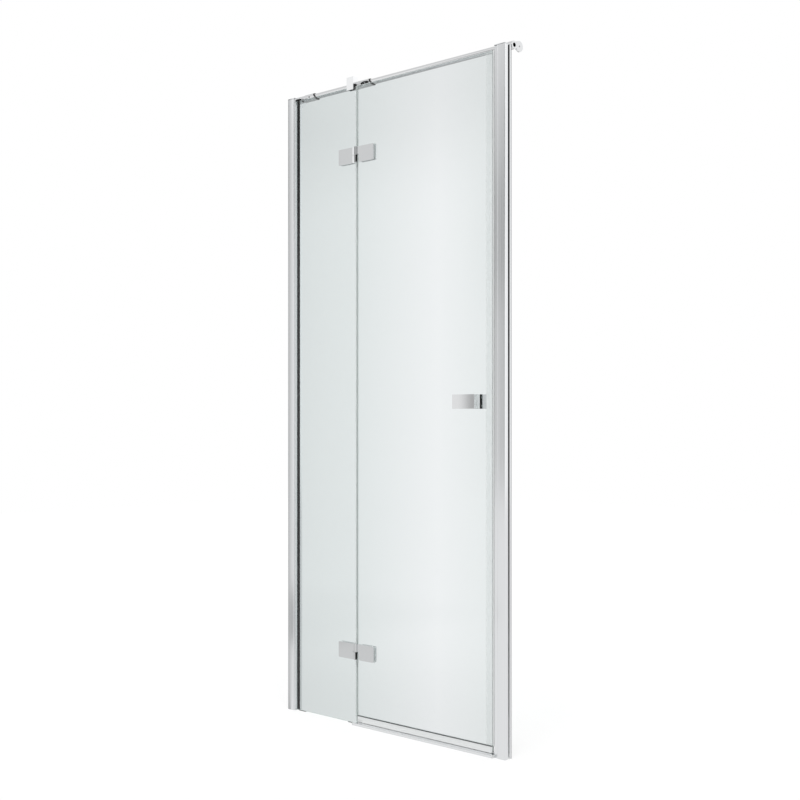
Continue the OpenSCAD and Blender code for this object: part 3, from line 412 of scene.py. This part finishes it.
# edges whose faces turn by more than this, in degrees, are rounded
ROUNDED_FROM = 40

# open groove in a wall channel's outer side: its depth, its mouth's rim, its front and back in Y
GROOVE_DEPTH, GROOVE_RIM = 10, 0.2
GROOVE_FRONT, GROOVE_BACK = -1.7, 5.7
# the channel's last strip next to the wall, painted as a shadow line, starts at this Y, in the
# plane of its outer side
WALL_STRIP_Y, IN_PLANE = 11.2, 0.1
# radius of the hollow wall side of a bracket
SOCKET_R = 6.2
# height of the painted shadow line at the joint under the top caps
JOINT_LINE = 0.6
# height of the lip on the door's bottom seal, and of the foot of its magnetic seal, both drawn
# dark as painted shade
SEAL_LIP, SEAL_FOOT = 2.1, 0.2
# the milky part of the magnetic seal, from the pane's edge
MILKY_FROM, MILKY_TO = 1, 7.3

# node: how far its sides fall back, how deep the moved band is, and its number of strips
CROWNED = {
    "left_wall_channel": (0.15, 1.6, 10), "right_wall_channel": (0.03, 1.6, 8),
    "outer_handle": (0.5, 2.0, 14),
}

# node: a cut through it, for a change of finish or of painted shade on a face that is one in the
# CAD, as a point of the cut and the way it faces
ACROSS, BACK, UP = (1, 0, 0), (0, 1, 0), (0, 0, 1)
CUTS = {
    "left_top_cap": ((0, 0, CHANNEL_TOP + JOINT_LINE), UP),
    "right_top_cap": ((0, 0, CHANNEL_TOP + JOINT_LINE), UP),
    "magnetic_seal": ((PANE_END + MILKY_TO, 0, 0), ACROSS),
    "left_wall_channel": ((0, WALL_STRIP_Y, 0), BACK),
    "right_wall_channel": ((0, WALL_STRIP_Y, 0), BACK),
}

# node: how wide its edges are rounded
ROUNDING = {
    "left_wall_channel": 0.3, "right_wall_channel": 0.3, "left_glazing_profile": 0.25,
    "right_closing_profile": 0.3, "left_top_cap": 0.4, "right_top_cap": 0.4,
    "front_glazing_seal": 0.15, "rear_glazing_gasket": 0.3, "setting_blocks": 0.3,
    "left_screw_covers": 0.3, "right_screw_covers": 0.3, "magnet_holder": 0.4,
    "frame_magnet": 0.1, "edge_seal": 0.15, "door_bottom_seal": 0.15, "seal_end_block": 0.4,
    "magnetic_seal": 0.4, "door_magnet": 0.1, "threshold_strip": 0.3,
    "threshold_end_caps": 0.4, "left_bar_collar": 0.4, "clamp_bar_collar": 0.4,
    "left_wall_bracket": 0.5, "right_wall_bracket": 0.5, "short_bar": 0.5, "long_bar": 0.5,
    "glass_clamp": 1.2, "clamp_pad": 0.3, "outer_handle": 0.6, "handle_spacer": 0.3,
    "inner_knob": 0.8, "knob_washer": 0.2, "top_hinge_fixed_leaf": 0.5,
    "bottom_hinge_fixed_leaf": 0.5, "top_hinge_door_leaf": 0.5, "bottom_hinge_door_leaf": 0.5,
    "top_hinge_fixed_plate": 0.6, "bottom_hinge_fixed_plate": 0.6,
    "top_hinge_door_plate": 0.6, "bottom_hinge_door_plate": 0.6, "fixed_hinge_gaskets": 0.2,
    "door_hinge_gaskets": 0.2, "hinge_bearings": 0.3, "hinge_washers": 0.2, "hinge_pins": 0.3,
    "fixed_hinge_sleeves": 0.2, "door_hinge_sleeves": 0.2, "handle_sleeves": 0.2,
    "collar_liners": 0.3,
}


# ---- faces that have another finish than the rest of their piece, some of them painted shade ----

def everywhere(face):
    return True


def above(height):
    return lambda face: face.calc_center_median().z > height * MM


def below(height):
    return lambda face: face.calc_center_median().z < height * MM


def between(x0, x1):
    return lambda face: x0 * MM < face.calc_center_median().x < x1 * MM


def in_groove(face):
    """Inside the open groove in a wall channel's outer side."""
    at = face.calc_center_median() / MM
    return (WALL_X - GROOVE_DEPTH < abs(at.x) < WALL_X - GROOVE_RIM
        and GROOVE_FRONT < at.y < GROOVE_BACK)


def at_wall(face):
    """The last strip of a wall channel's outer side, next to the wall."""
    at = face.calc_center_median() / MM
    return abs(at.x) > WALL_X - IN_PLANE and at.y > WALL_STRIP_Y


def in_socket(face):
    """Inside the hollow wall side of a bracket's socket."""
    at = face.calc_center_median() / MM
    return math.hypot(at.y - BAR_Y, at.z - BAR_Z) < SOCKET_R


# the seals' lips take painted shade
SEAL_FINISH = [(everywhere, MILKY_PVC), (above(BOTTOM_SEAL_TOP - SEAL_LIP), PVC_RIM_SHADE)]
# node: which of its faces have another finish than its slot's usual one, some of them painted
# shade, and that finish
SECOND_FINISH = {
    "door_bottom_seal": SEAL_FINISH,
    "seal_end_block": SEAL_FINISH,
    "magnetic_seal": [(between(PANE_END + MILKY_FROM, PANE_END + MILKY_TO), MILKY_PVC),
        (below(MAGNETIC_SEAL_FOOT + SEAL_FOOT), PVC_RIM_SHADE)],
    "inner_knob": [(everywhere, TUMBLED)],
    "fixed_hinge_gaskets": [(everywhere, MILKY_PVC)],
    "door_hinge_gaskets": [(everywhere, MILKY_PVC)],
}
# painted shade in the channels' grooves and the brackets' sockets, and painted shadow lines at the
# wall and under the top caps
for side in ("left", "right"):
    SECOND_FINISH[f"{side}_wall_channel"] = [(in_groove, GROOVE_SHADE), (at_wall, WALL_SHADOW)]
    SECOND_FINISH[f"{side}_wall_bracket"] = [(in_socket, BORE_SHADE)]
    SECOND_FINISH[f"{side}_top_cap"] = [(below(CHANNEL_TOP + JOINT_LINE), GROOVE_SHADE)]
for side in ("top", "bottom"):
    for leaf in ("fixed_leaf", "door_leaf"):
        SECOND_FINISH[f"{side}_hinge_{leaf}"] = [(everywhere, TUMBLED)]


# ---- pieces ----

def merged(node):
    """A CAD node's mesh with its doubles merged and its flat faces whole."""
    bm = bmesh.new()
    bm.from_mesh(frame["nodes"][node].data)
    bmesh.ops.remove_doubles(bm, verts=bm.verts, dist=WELD * MM)
    bmesh.ops.dissolve_limit(bm, angle_limit=math.radians(FLAT), verts=bm.verts, edges=bm.edges)
    return bm


def cut_through(bm, at, way):
    """Cuts all faces along a plane through a point, and takes nothing away."""
    bmesh.ops.bisect_plane(bm, geom=list(bm.verts) + list(bm.edges) + list(bm.faces),
        dist=TOUCH * MM, plane_co=at, plane_no=way)


def crown(bm, depth_mm, band_mm, strips):
    """Bends a flat front so that its middle stands proud of its sides by a trace, as extruded
    and polished faces do. The front is cut into strips, and only what lies within a band
    behind it is moved."""
    xs = [v.co.x for v in bm.verts]
    front = min(v.co.y for v in bm.verts)
    middle, half = (min(xs) + max(xs)) / 2, (max(xs) - min(xs)) / 2
    for k in range(1, strips):
        cut_through(bm, (middle + half * (2 * k / strips - 1), 0, 0), ACROSS)
    for v in bm.verts:
        if v.co.y < front + band_mm * MM:
            v.co.y += depth_mm * MM * ((v.co.x - middle) / half) ** 2


def sharpen(bm, degrees):
    """Smooth faces, sharp where two of them meet at more than this angle."""
    for face in bm.faces:
        face.smooth = True
    for edge in bm.edges:
        edge.smooth = not edge.is_manifold or edge.calc_face_angle(0) < math.radians(degrees)


def piece(name, bm, materials, node, round_mm=0.0, sharp=EDGE_FROM):
    """Makes the mesh a piece of the door that stands for a CAD node, with its edges rounded."""
    mesh = bpy.data.meshes.new(name)
    sharpen(bm, sharp)
    bm.to_mesh(mesh)
    bm.free()
    for m in materials:
        mesh.materials.append(m)
    made = bpy.data.objects.new(name, mesh)
    bpy.context.scene.collection.objects.link(made)
    if round_mm:
        bevel = made.modifiers.new("rounded_edges", "BEVEL")
        bevel.width = round_mm * MM
        bevel.segments = 2
        bevel.limit_method = "ANGLE"
        bevel.angle_limit = math.radians(ROUNDED_FROM)
        bevel.harden_normals = True
        bevel.use_clamp_overlap = True
    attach(made, body_of[node])
    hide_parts(node)


def dressed(node, round_mm):
    """A finished copy of a CAD node: the same shape with rounded edges and its own finish."""
    bm = merged(node)
    bm.normal_update()
    for v in bm.verts:
        v.co -= v.normal * HAIR * MM
    if node in CROWNED:
        crown(bm, *CROWNED[node])
    if node in CUTS:
        at, way = CUTS[node]
        cut_through(bm, [c * MM for c in at], way)
    materials = [SLOTS[slot_of[node]]]
    for holds, finish in SECOND_FINISH.get(node, []):
        materials.append(finish)
        for face in bm.faces:
            if holds(face):
                face.material_index = len(materials) - 1
    sharp = SHOULDER_EDGE_FROM if node.endswith("_leaf") else EDGE_FROM
    piece(node + "_dressed", bm, materials, node, round_mm, sharp)


def of_round_hole(face):
    """Whether a pane's face is in the wall of a hole, which slants in X and Z at once."""
    return min(abs(face.normal.x), abs(face.normal.z)) > SLANTS


def glass_pane(node):
    """A pane with its outer edges ground off and polished, and only seamed at the hinge side of
    the door, where nobody sees it."""
    bm = merged(node)
    outline = [e for e in bm.edges if e.calc_face_angle(0) > SQUARE
        and not any(of_round_hole(f) for f in e.link_faces)]
    bmesh.ops.bevel(bm, geom=outline, offset=ARRIS * MM, segments=1, profile=0.5,
        affect="EDGES", clamp_overlap=True)
    for face in bm.faces:
        seamed = abs(face.calc_center_median().x / MM - HINGE_EDGE) < AT_EDGE
        face.material_index = 0 if abs(face.normal.y) > FACES_OUT else 2 if seamed else 1
    piece(node + "_glass", bm, [GLASS, GLASS_EDGE, SEAMED_EDGE], node)


# ---- screws, made by one tree of Geometry Nodes ----

FORWARD = (0, -1, 0)
# the brackets' screws sit below the front of the bar, turned down by this angle
BRACKET_TURN = math.radians(40)
TILTED = (0, -math.cos(BRACKET_TURN), -math.sin(BRACKET_TURN))

# kinds of screw: the way the face looks, and in millimetres the radius of the face, of the
# head's foot and of the rod, the head's height, and the radius and depth of the hexagon recess
LOCK_SCREW = (BACK, 3.2, 3.2, 1.75, 2.0, 1.7, 1.4)
HINGE_SCREW = (BACK, 5.6, 3.0, 3.0, 2.6, 2.1, 2.3)
HANDLE_SCREW = (BACK, 4.25, 4.25, 2.5, 3.0, 1.75, 1.8)


def grub_screw(way, radius, recess_r, recess_d):
    """A kind of screw that is all head, as wide at its foot as at its face."""
    return (way, radius, radius, radius, None, recess_r, recess_d)


BRACKET_SCREW = grub_screw(TILTED, 4.6, 3.2, 1.2)
LEFT_COLLAR_SCREW = grub_screw(FORWARD, 2.5, 1.75, 1.6)
CLAMP_COLLAR_SCREW = grub_screw(FORWARD, 2.5, 1.75, 1.2)
# those behind the glass look back and those on the ring look up, as the box round each tells
CLAMP_SCREW = grub_screw(None, 2.0, 1.1, 1.2)

WHOLE_WIDTH = (-WALL_X, WALL_X)
# in millimetres: the brackets' screws lie further out than the first, and the clamp's own screws
# left of the second
BRACKET_X, CLAMP_X = 400, -150
# node: the kinds of screw in it, each with the X range it lies in
SCREWS = {
    "left_lock_screws": [(WHOLE_WIDTH, LOCK_SCREW)],
    "right_lock_screws": [(WHOLE_WIDTH, LOCK_SCREW)],
    "fixed_hinge_screws": [(WHOLE_WIDTH, HINGE_SCREW)],
    "door_hinge_screws": [(WHOLE_WIDTH, HINGE_SCREW)],
    "handle_screws": [(WHOLE_WIDTH, HANDLE_SCREW)],
    "bar_set_screws": [((-WALL_X, -BRACKET_X), BRACKET_SCREW),
        ((BRACKET_X, WALL_X), BRACKET_SCREW), ((-BRACKET_X, BRACKET_X), LEFT_COLLAR_SCREW)],
    "clamp_set_screws": [((CLAMP_X, WALL_X), CLAMP_COLLAR_SCREW),
        ((-WALL_X, CLAMP_X), CLAMP_SCREW)],
}

# in millimetres: the broken edge of a screw's face, the stub of rod that a grub screw keeps, how
# far the recess is cut past the face, and how unlike two sides of a round screw's box may be
CHAMFER, STUB, PAST_FACE, ALIKE = 0.25, 0.2, 1.0, 0.2
ROUND_SIDES, HEXAGON_SIDES = 32, 6


def screw_tree(material):
    """Puts a chamfered screw with a hexagon recess on every point, its face at the point."""
    tree = bpy.data.node_groups.new("hexagon_socket_screws", "GeometryNodeTree")
    sockets = tree.interface
    sockets.new_socket("Places", in_out="INPUT", socket_type="NodeSocketGeometry")
    for name in ("Face Radius", "Foot Radius", "Head Height", "Rod Radius", "Rod Length",
            "Recess Radius", "Recess Depth", "Chamfer"):
        sockets.new_socket(name, in_out="INPUT", socket_type="NodeSocketFloat")
    sockets.new_socket("Turn", in_out="INPUT", socket_type="NodeSocketVector")
    sockets.new_socket("Screws", in_out="OUTPUT", socket_type="NodeSocketGeometry")
    given = add(tree, "NodeGroupInput").outputs

    def part(kind, low, depth, **sizes):
        """A cone or cylinder from a height below the face, for the depth given."""
        made = add(tree, kind, {k.replace("_", " "): v for k, v in sizes.items()},
            fill_type="NGON")
        tree.links.new(depth, made.inputs["Depth"])
        centred = 0.5 if kind == "GeometryNodeMeshCylinder" else 0.0
        lift = add(tree, "ShaderNodeMath", {0: depth, 1: centred, 2: low},
            operation="MULTIPLY_ADD")
        spot = add(tree, "ShaderNodeCombineXYZ", {"Z": lift.outputs[0]})
        return add(tree, "GeometryNodeTransform", {"Geometry": made.outputs["Mesh"],
            "Translation": spot.outputs[0]}).outputs[0]

    under_head = add(tree, "ShaderNodeMath", {0: given["Head Height"], 1: given["Rod Length"]})
    feet = [add(tree, "ShaderNodeMath", {0: 0.0, 1: depth}, operation="SUBTRACT").outputs[0]
        for depth in (given["Head Height"], given["Chamfer"], under_head.outputs[0],
            given["Recess Depth"])]
    head_foot, rim_foot, rod_foot, recess_foot = feet
    unchamfered = [add(tree, "ShaderNodeMath", {0: size, 1: given["Chamfer"]},
        operation="SUBTRACT").outputs[0] for size in (given["Head Height"], given["Face Radius"])]
    head = part("GeometryNodeMeshCone", head_foot, unchamfered[0], Vertices=ROUND_SIDES,
        Radius_Top=given["Face Radius"], Radius_Bottom=given["Foot Radius"])
    rim = part("GeometryNodeMeshCone", rim_foot, given["Chamfer"], Vertices=ROUND_SIDES,
        Radius_Top=unchamfered[1], Radius_Bottom=given["Face Radius"])
    rod = part("GeometryNodeMeshCylinder", rod_foot, given["Rod Length"],
        Vertices=ROUND_SIDES, Radius=given["Rod Radius"])
    reach = add(tree, "ShaderNodeMath", {0: given["Recess Depth"], 1: PAST_FACE * MM}).outputs[0]
    recess = part("GeometryNodeMeshCylinder", recess_foot, reach,
        Vertices=HEXAGON_SIDES, Radius=given["Recess Radius"])
    whole = add(tree, "GeometryNodeMeshBoolean", operation="UNION", solver="EXACT")
    for solid in (head, rim, rod):
        tree.links.new(solid, whole.inputs["Mesh 2"])
    cut = add(tree, "GeometryNodeMeshBoolean", {"Mesh 1": whole.outputs[0], "Mesh 2": recess},
        operation="DIFFERENCE", solver="EXACT")
    way = add(tree, "FunctionNodeEulerToRotation", {"Euler": given["Turn"]})
    points = add(tree, "GeometryNodeMeshToPoints", {"Mesh": given["Places"]})
    placed = add(tree, "GeometryNodeInstanceOnPoints", {"Points": points.outputs[0],
        "Instance": cut.outputs[0], "Rotation": way.outputs[0]})
    real = add(tree, "GeometryNodeRealizeInstances", {"Geometry": placed.outputs[0]})
    finish = add(tree, "GeometryNodeSetMaterial", {"Geometry": real.outputs[0],
        "Material": material})
    add(tree, "NodeGroupOutput", {"Screws": finish.outputs[0]})
    return tree


def solids_of(node):
    """Centre and size of the box round each separate solid of a CAD node."""
    bm = merged(node)
    left, boxes = set(bm.verts), []
    while left:
        found, waiting = set(), [left.pop()]
        while waiting:
            v = waiting.pop()
            found.add(v)
            for e in v.link_edges:
                other = e.other_vert(v)
                if other in left:
                    left.discard(other)
                    waiting.append(other)
        low = Vector([min(v.co[i] for v in found) for i in range(3)])
        high = Vector([max(v.co[i] for v in found) for i in range(3)])
        boxes.append(((low + high) / 2, high - low))
    bm.free()
    return sorted(boxes, key=lambda b: tuple(b[0]))


def made_screw(tree, place, looks, sizes):
    """The mesh of one screw, its face at a place in metres, from its sizes in millimetres."""
    mesh = bpy.data.meshes.new("place")
    mesh.from_pydata([place], [], [])
    holder = bpy.data.objects.new("place", mesh)
    bpy.context.scene.collection.objects.link(holder)
    modifier = holder.modifiers.new("screws", "NODES")
    modifier.node_group = tree
    socket = {s.name: s.identifier for s in tree.interface.items_tree if s.in_out == "INPUT"}
    for name, value in sizes.items():
        modifier[socket[name]] = value * MM
    modifier[socket["Turn"]] = looks.to_track_quat("Z", "Y").to_euler()
    graph = bpy.context.evaluated_depsgraph_get()
    turned = bpy.data.meshes.new_from_object(holder.evaluated_get(graph))
    bpy.data.objects.remove(holder)
    return turned


def screws(node, kinds):
    """All screws of a CAD node, each where the CAD has it."""
    material = SLOTS[slot_of[node]]
    tree = screw_tree(material)
    bm = bmesh.new()
    for (x0, x1), (way, face_r, foot_r, rod_r, head_h, recess_r, recess_d) in kinds:
        for centre, size in solids_of(node):
            if not x0 * MM < centre.x < x1 * MM:
                continue
            looks = Vector(way or (BACK if abs(size.x - size.z) < ALIKE * MM else UP))
            if way == TILTED:
                # its box holds both the length and the width of a tilted screw
                length = (size.y / MM - 2 * face_r * abs(looks.z)) / abs(looks.y)
            else:
                length = abs(size.dot(looks)) / MM
            high = head_h or length - STUB
            turned = made_screw(tree, centre + looks * length * MM / 2, looks,
                {"Face Radius": face_r, "Foot Radius": foot_r, "Head Height": high,
                "Rod Radius": rod_r, "Rod Length": length - high, "Recess Radius": recess_r,
                "Recess Depth": recess_d, "Chamfer": CHAMFER})
            bm.from_mesh(turned)
            bpy.data.meshes.remove(turned)
    bpy.data.node_groups.remove(tree)
    piece(node + "_turned", bm, [material], node)


for pane in ("fixed_pane", "door_pane"):
    glass_pane(pane)
for node, width in ROUNDING.items():
    dressed(node, width)
for node, kinds in SCREWS.items():
    screws(node, kinds)


# ---- studio ----

# white light, and the strength at which it looks white
LIGHT, BACKDROP = [1.0, 1.0, 1.0, 1.0], 1.0

# half the floor's side in metres
FLOOR_HALF = 9.0
# its matt colour, the shade in which the eye sees the door's shadow, and the glow that lifts
# that shade to white again
FLOOR_COLOUR = "E0E0E0"
FLOOR_SHADE = [0.35, 0.35, 0.35, 1.0]
FLOOR_GLOW = 0.67
# how bright mirrors show it, and how bright its dim parts, which are painted shade that only
# mirrors see
MIRRORED, MIRRORED_DIM = 0.93, 0.55
# one dim part lies to the left and behind, and is full dim from the second of these places on
DIM_X, DIM_Y = (-1.1, -1.6), (-2.4, -1.6)
# the other is a sector in front, seen from the left profile's foot, from and to these degrees
PROFILE_X, PROFILE_Y = -0.436, -0.014
SECTOR = [math.radians(azimuth - 360) for azimuth in (223, 217.5)]


def floor():
    """A plain white floor that keeps a faint shadow of the door, with parts in painted shade that
    only mirrors show.
    """
    made, tree = empty_tree("matt_white_floor")
    place = add(tree, "ShaderNodeTexCoord").outputs["Object"]
    rays = add(tree, "ShaderNodeLightPath").outputs
    spot = add(tree, "ShaderNodeSeparateXYZ", {"Vector": place}).outputs
    out_y = add(tree, "ShaderNodeMath", {0: -PROFILE_Y, 1: spot["Y"]})
    out_x = add(tree, "ShaderNodeMath", {0: -PROFILE_X, 1: spot["X"]})
    turn = add(tree, "ShaderNodeMath", {0: out_y.outputs[0], 1: out_x.outputs[0]},
        operation="ARCTAN2")
    to_left, to_back, sector = [add(tree, "ShaderNodeMapRange", {"Value": value,
        "From Min": start, "From Max": full, "To Min": 0.0, "To Max": 1.0},
        interpolation_type="SMOOTHSTEP").outputs[0] for value, (start, full) in (
            (spot["X"], DIM_X), (spot["Y"], DIM_Y), (turn.outputs[0], SECTOR))]
    corner = add(tree, "ShaderNodeMath", {0: to_left, 1: to_back}, operation="MULTIPLY")
    dim = add(tree, "ShaderNodeMath", {0: corner.outputs[0], 1: sector}, operation="MAXIMUM")
    level = add(tree, "ShaderNodeMix", {0: dim.outputs[0], 2: MIRRORED, 3: MIRRORED_DIM},
        data_type="FLOAT")

    matt = add(tree, "ShaderNodeBsdfDiffuse", {"Color": colour(FLOOR_COLOUR)})
    shade = add(tree, "ShaderNodeBsdfDiffuse", {"Color": FLOOR_SHADE})
    glow = add(tree, "ShaderNodeEmission", {"Color": LIGHT, "Strength": FLOOR_GLOW})
    seen = add(tree, "ShaderNodeAddShader", {0: shade.outputs[0], 1: glow.outputs[0]})
    white = add(tree, "ShaderNodeEmission", {"Color": LIGHT, "Strength": BACKDROP})
    mirrored = add(tree, "ShaderNodeEmission", {"Color": LIGHT, "Strength": level.outputs[0]})
    shown = matt
    for ray, shader in (("Is Glossy Ray", mirrored), ("Is Transmission Ray", white),
            ("Is Camera Ray", seen)):
        shown = add(tree, "ShaderNodeMixShader", {0: rays[ray], 1: shown.outputs[0],
            2: shader.outputs[0]})
    add(tree, "ShaderNodeOutputMaterial", {"Surface": shown.outputs[0]})

    mesh = bpy.data.meshes.new("floor")
    r = FLOOR_HALF
    mesh.from_pydata([(-r, -r, 0), (r, -r, 0), (r, r, 0), (-r, r, 0)], [], [(0, 1, 2, 3)])
    mesh.materials.append(made)
    plane = bpy.data.objects.new("floor", mesh)
    bpy.context.scene.collection.objects.link(plane)


# the room's light: what mirrors see where no card hangs, and what matt surfaces get from all
# round
BARE_ROOM, EVEN_LIGHT = 0.60, 0.65

# soft boxes and dark cards that polished metal mirrors, the later ones in front: from and to
# in azimuth and in elevation, the widths of their soft edges, in degrees, and their brightness
CARDS = [
    ((-200, 200), (16, 95), (1, 6), 0.82),
    ((-95, 66), (-25, 95), (15, 12), 1.05),
    ((196, 240), (-9, 14), (10, 4), 0.50),
    ((220.5, 229.3), (-30, 60), (5, 8), 0.97),
    ((228.9, 262), (5.5, 11), (1.5, 3), 0.40),
    ((226, 262), (-25, -3), (3, 3), 0.92),
    ((221.5, 226.5), (13.2, 22), (2, 1.5), 1.15),
    ((30, 46.5), (-25, 25), (1.5, 8), 1.30),
    ((256, 272), (-20, 25), (5, 6), 1.45),
    ((280, 350), (8.5, 15), (6, 2), 0.45),
]
for turn in ((12, 29), (56, 74), (196, 216), (236, 255)):
    CARDS.append((turn, (8.5, 15), (3, 2), 0.04))


def room():
    """Eye and glass see white, matt surfaces an even light, and mirrors the cards."""
    world = bpy.data.worlds.new("studio")
    bpy.context.scene.world = world
    world.use_nodes = True
    tree = world.node_tree
    tree.nodes.clear()
    rays = add(tree, "ShaderNodeLightPath").outputs
    way = add(tree, "ShaderNodeTexCoord").outputs["Generated"]
    split = add(tree, "ShaderNodeSeparateXYZ", {"Vector": way}).outputs
    turn = add(tree, "ShaderNodeMath", {0: split["Y"], 1: split["X"]}, operation="ARCTAN2")
    rise = add(tree, "ShaderNodeMath", {0: split["Z"]}, operation="ARCSINE")
    shade = BARE_ROOM
    for (a0, a1), (e0, e1), soft, level in CARDS:
        away = add(tree, "ShaderNodeMath", {0: turn.outputs[0],
            1: math.radians((a0 + a1) / 2)}, operation="SUBTRACT")
        near = add(tree, "ShaderNodeMath", {0: away.outputs[0], 1: math.pi, 2: -math.pi},
            operation="WRAP")
        high = add(tree, "ShaderNodeMath", {0: rise.outputs[0],
            1: math.radians((e0 + e1) / 2)}, operation="SUBTRACT")
        cover = None
        for value, width, blur in ((near, a1 - a0, soft[0]), (high, e1 - e0, soft[1])):
            size = add(tree, "ShaderNodeMath", {0: value.outputs[0]}, operation="ABSOLUTE")
            edge = add(tree, "ShaderNodeMapRange", {"Value": size.outputs[0],
                "From Min": math.radians(width - blur) / 2,
                "From Max": math.radians(width + blur) / 2, "To Min": 1.0, "To Max": 0.0},
                interpolation_type="SMOOTHSTEP")
            cover = edge if cover is None else add(tree, "ShaderNodeMath",
                {0: cover.outputs[0], 1: edge.outputs[0]}, operation="MULTIPLY")
        shade = add(tree, "ShaderNodeMix", {0: cover.outputs[0], 2: shade, 3: level},
            data_type="FLOAT").outputs[0]
    even = add(tree, "ShaderNodeMix", {0: rays["Is Glossy Ray"], 2: EVEN_LIGHT, 3: shade},
        data_type="FLOAT")
    seen = add(tree, "ShaderNodeMath", {0: rays["Is Camera Ray"],
        1: rays["Is Transmission Ray"]}, operation="MAXIMUM")
    level = add(tree, "ShaderNodeMix", {0: seen.outputs[0], 2: even.outputs[0], 3: BACKDROP},
        data_type="FLOAT")
    back = add(tree, "ShaderNodeBackground", {"Color": LIGHT, "Strength": level.outputs[0]})
    add(tree, "ShaderNodeOutputWorld", {"Surface": back.outputs[0]})


def lamp(name, way, spread, strength):
    """A distant lamp that mirrors don't show, shining along way. Its spread, in degrees, makes
    its shadows soft."""
    light = bpy.data.lights.new(name, "SUN")
    light.angle = math.radians(spread)
    light.energy = strength
    made = bpy.data.objects.new(name, light)
    made.rotation_euler = Vector(way).to_track_quat("-Z", "Y").to_euler()
    made.visible_glossy = False
    made.visible_camera = False
    bpy.context.scene.collection.objects.link(made)


# the level camera that was solved from the photograph: its place in metres, its turn away from
# the door's front in degrees, its lens and sensor in millimetres, the rows of the picture between
# its middle and the horizon below it, and how far it sees in metres
CAMERA_PLACE, CAMERA_TURN = (2.6967, -2.7171, 0.921), 44.38
LENS, SENSOR = 58.12, 36.0
HORIZON_ROWS, PICTURE_ROWS = 21, 800
SEES_TO = 100


def camera():
    """Level camera at the photograph's angle."""
    lens = bpy.data.cameras.new("camera")
    lens.sensor_width = SENSOR
    lens.lens = LENS
    lens.shift_y = HORIZON_ROWS / PICTURE_ROWS
    lens.clip_end = SEES_TO
    made = bpy.data.objects.new("camera", lens)
    made.location = CAMERA_PLACE
    made.rotation_euler = (math.radians(90), 0, math.radians(CAMERA_TURN))
    bpy.context.scene.collection.objects.link(made)
    bpy.context.scene.camera = made


floor()
room()
lamp("soft_lamp", way=(-0.35, 0.45, -1.0), spread=35, strength=1.25)
camera()
bpy.context.scene.view_settings.view_transform = "Standard"
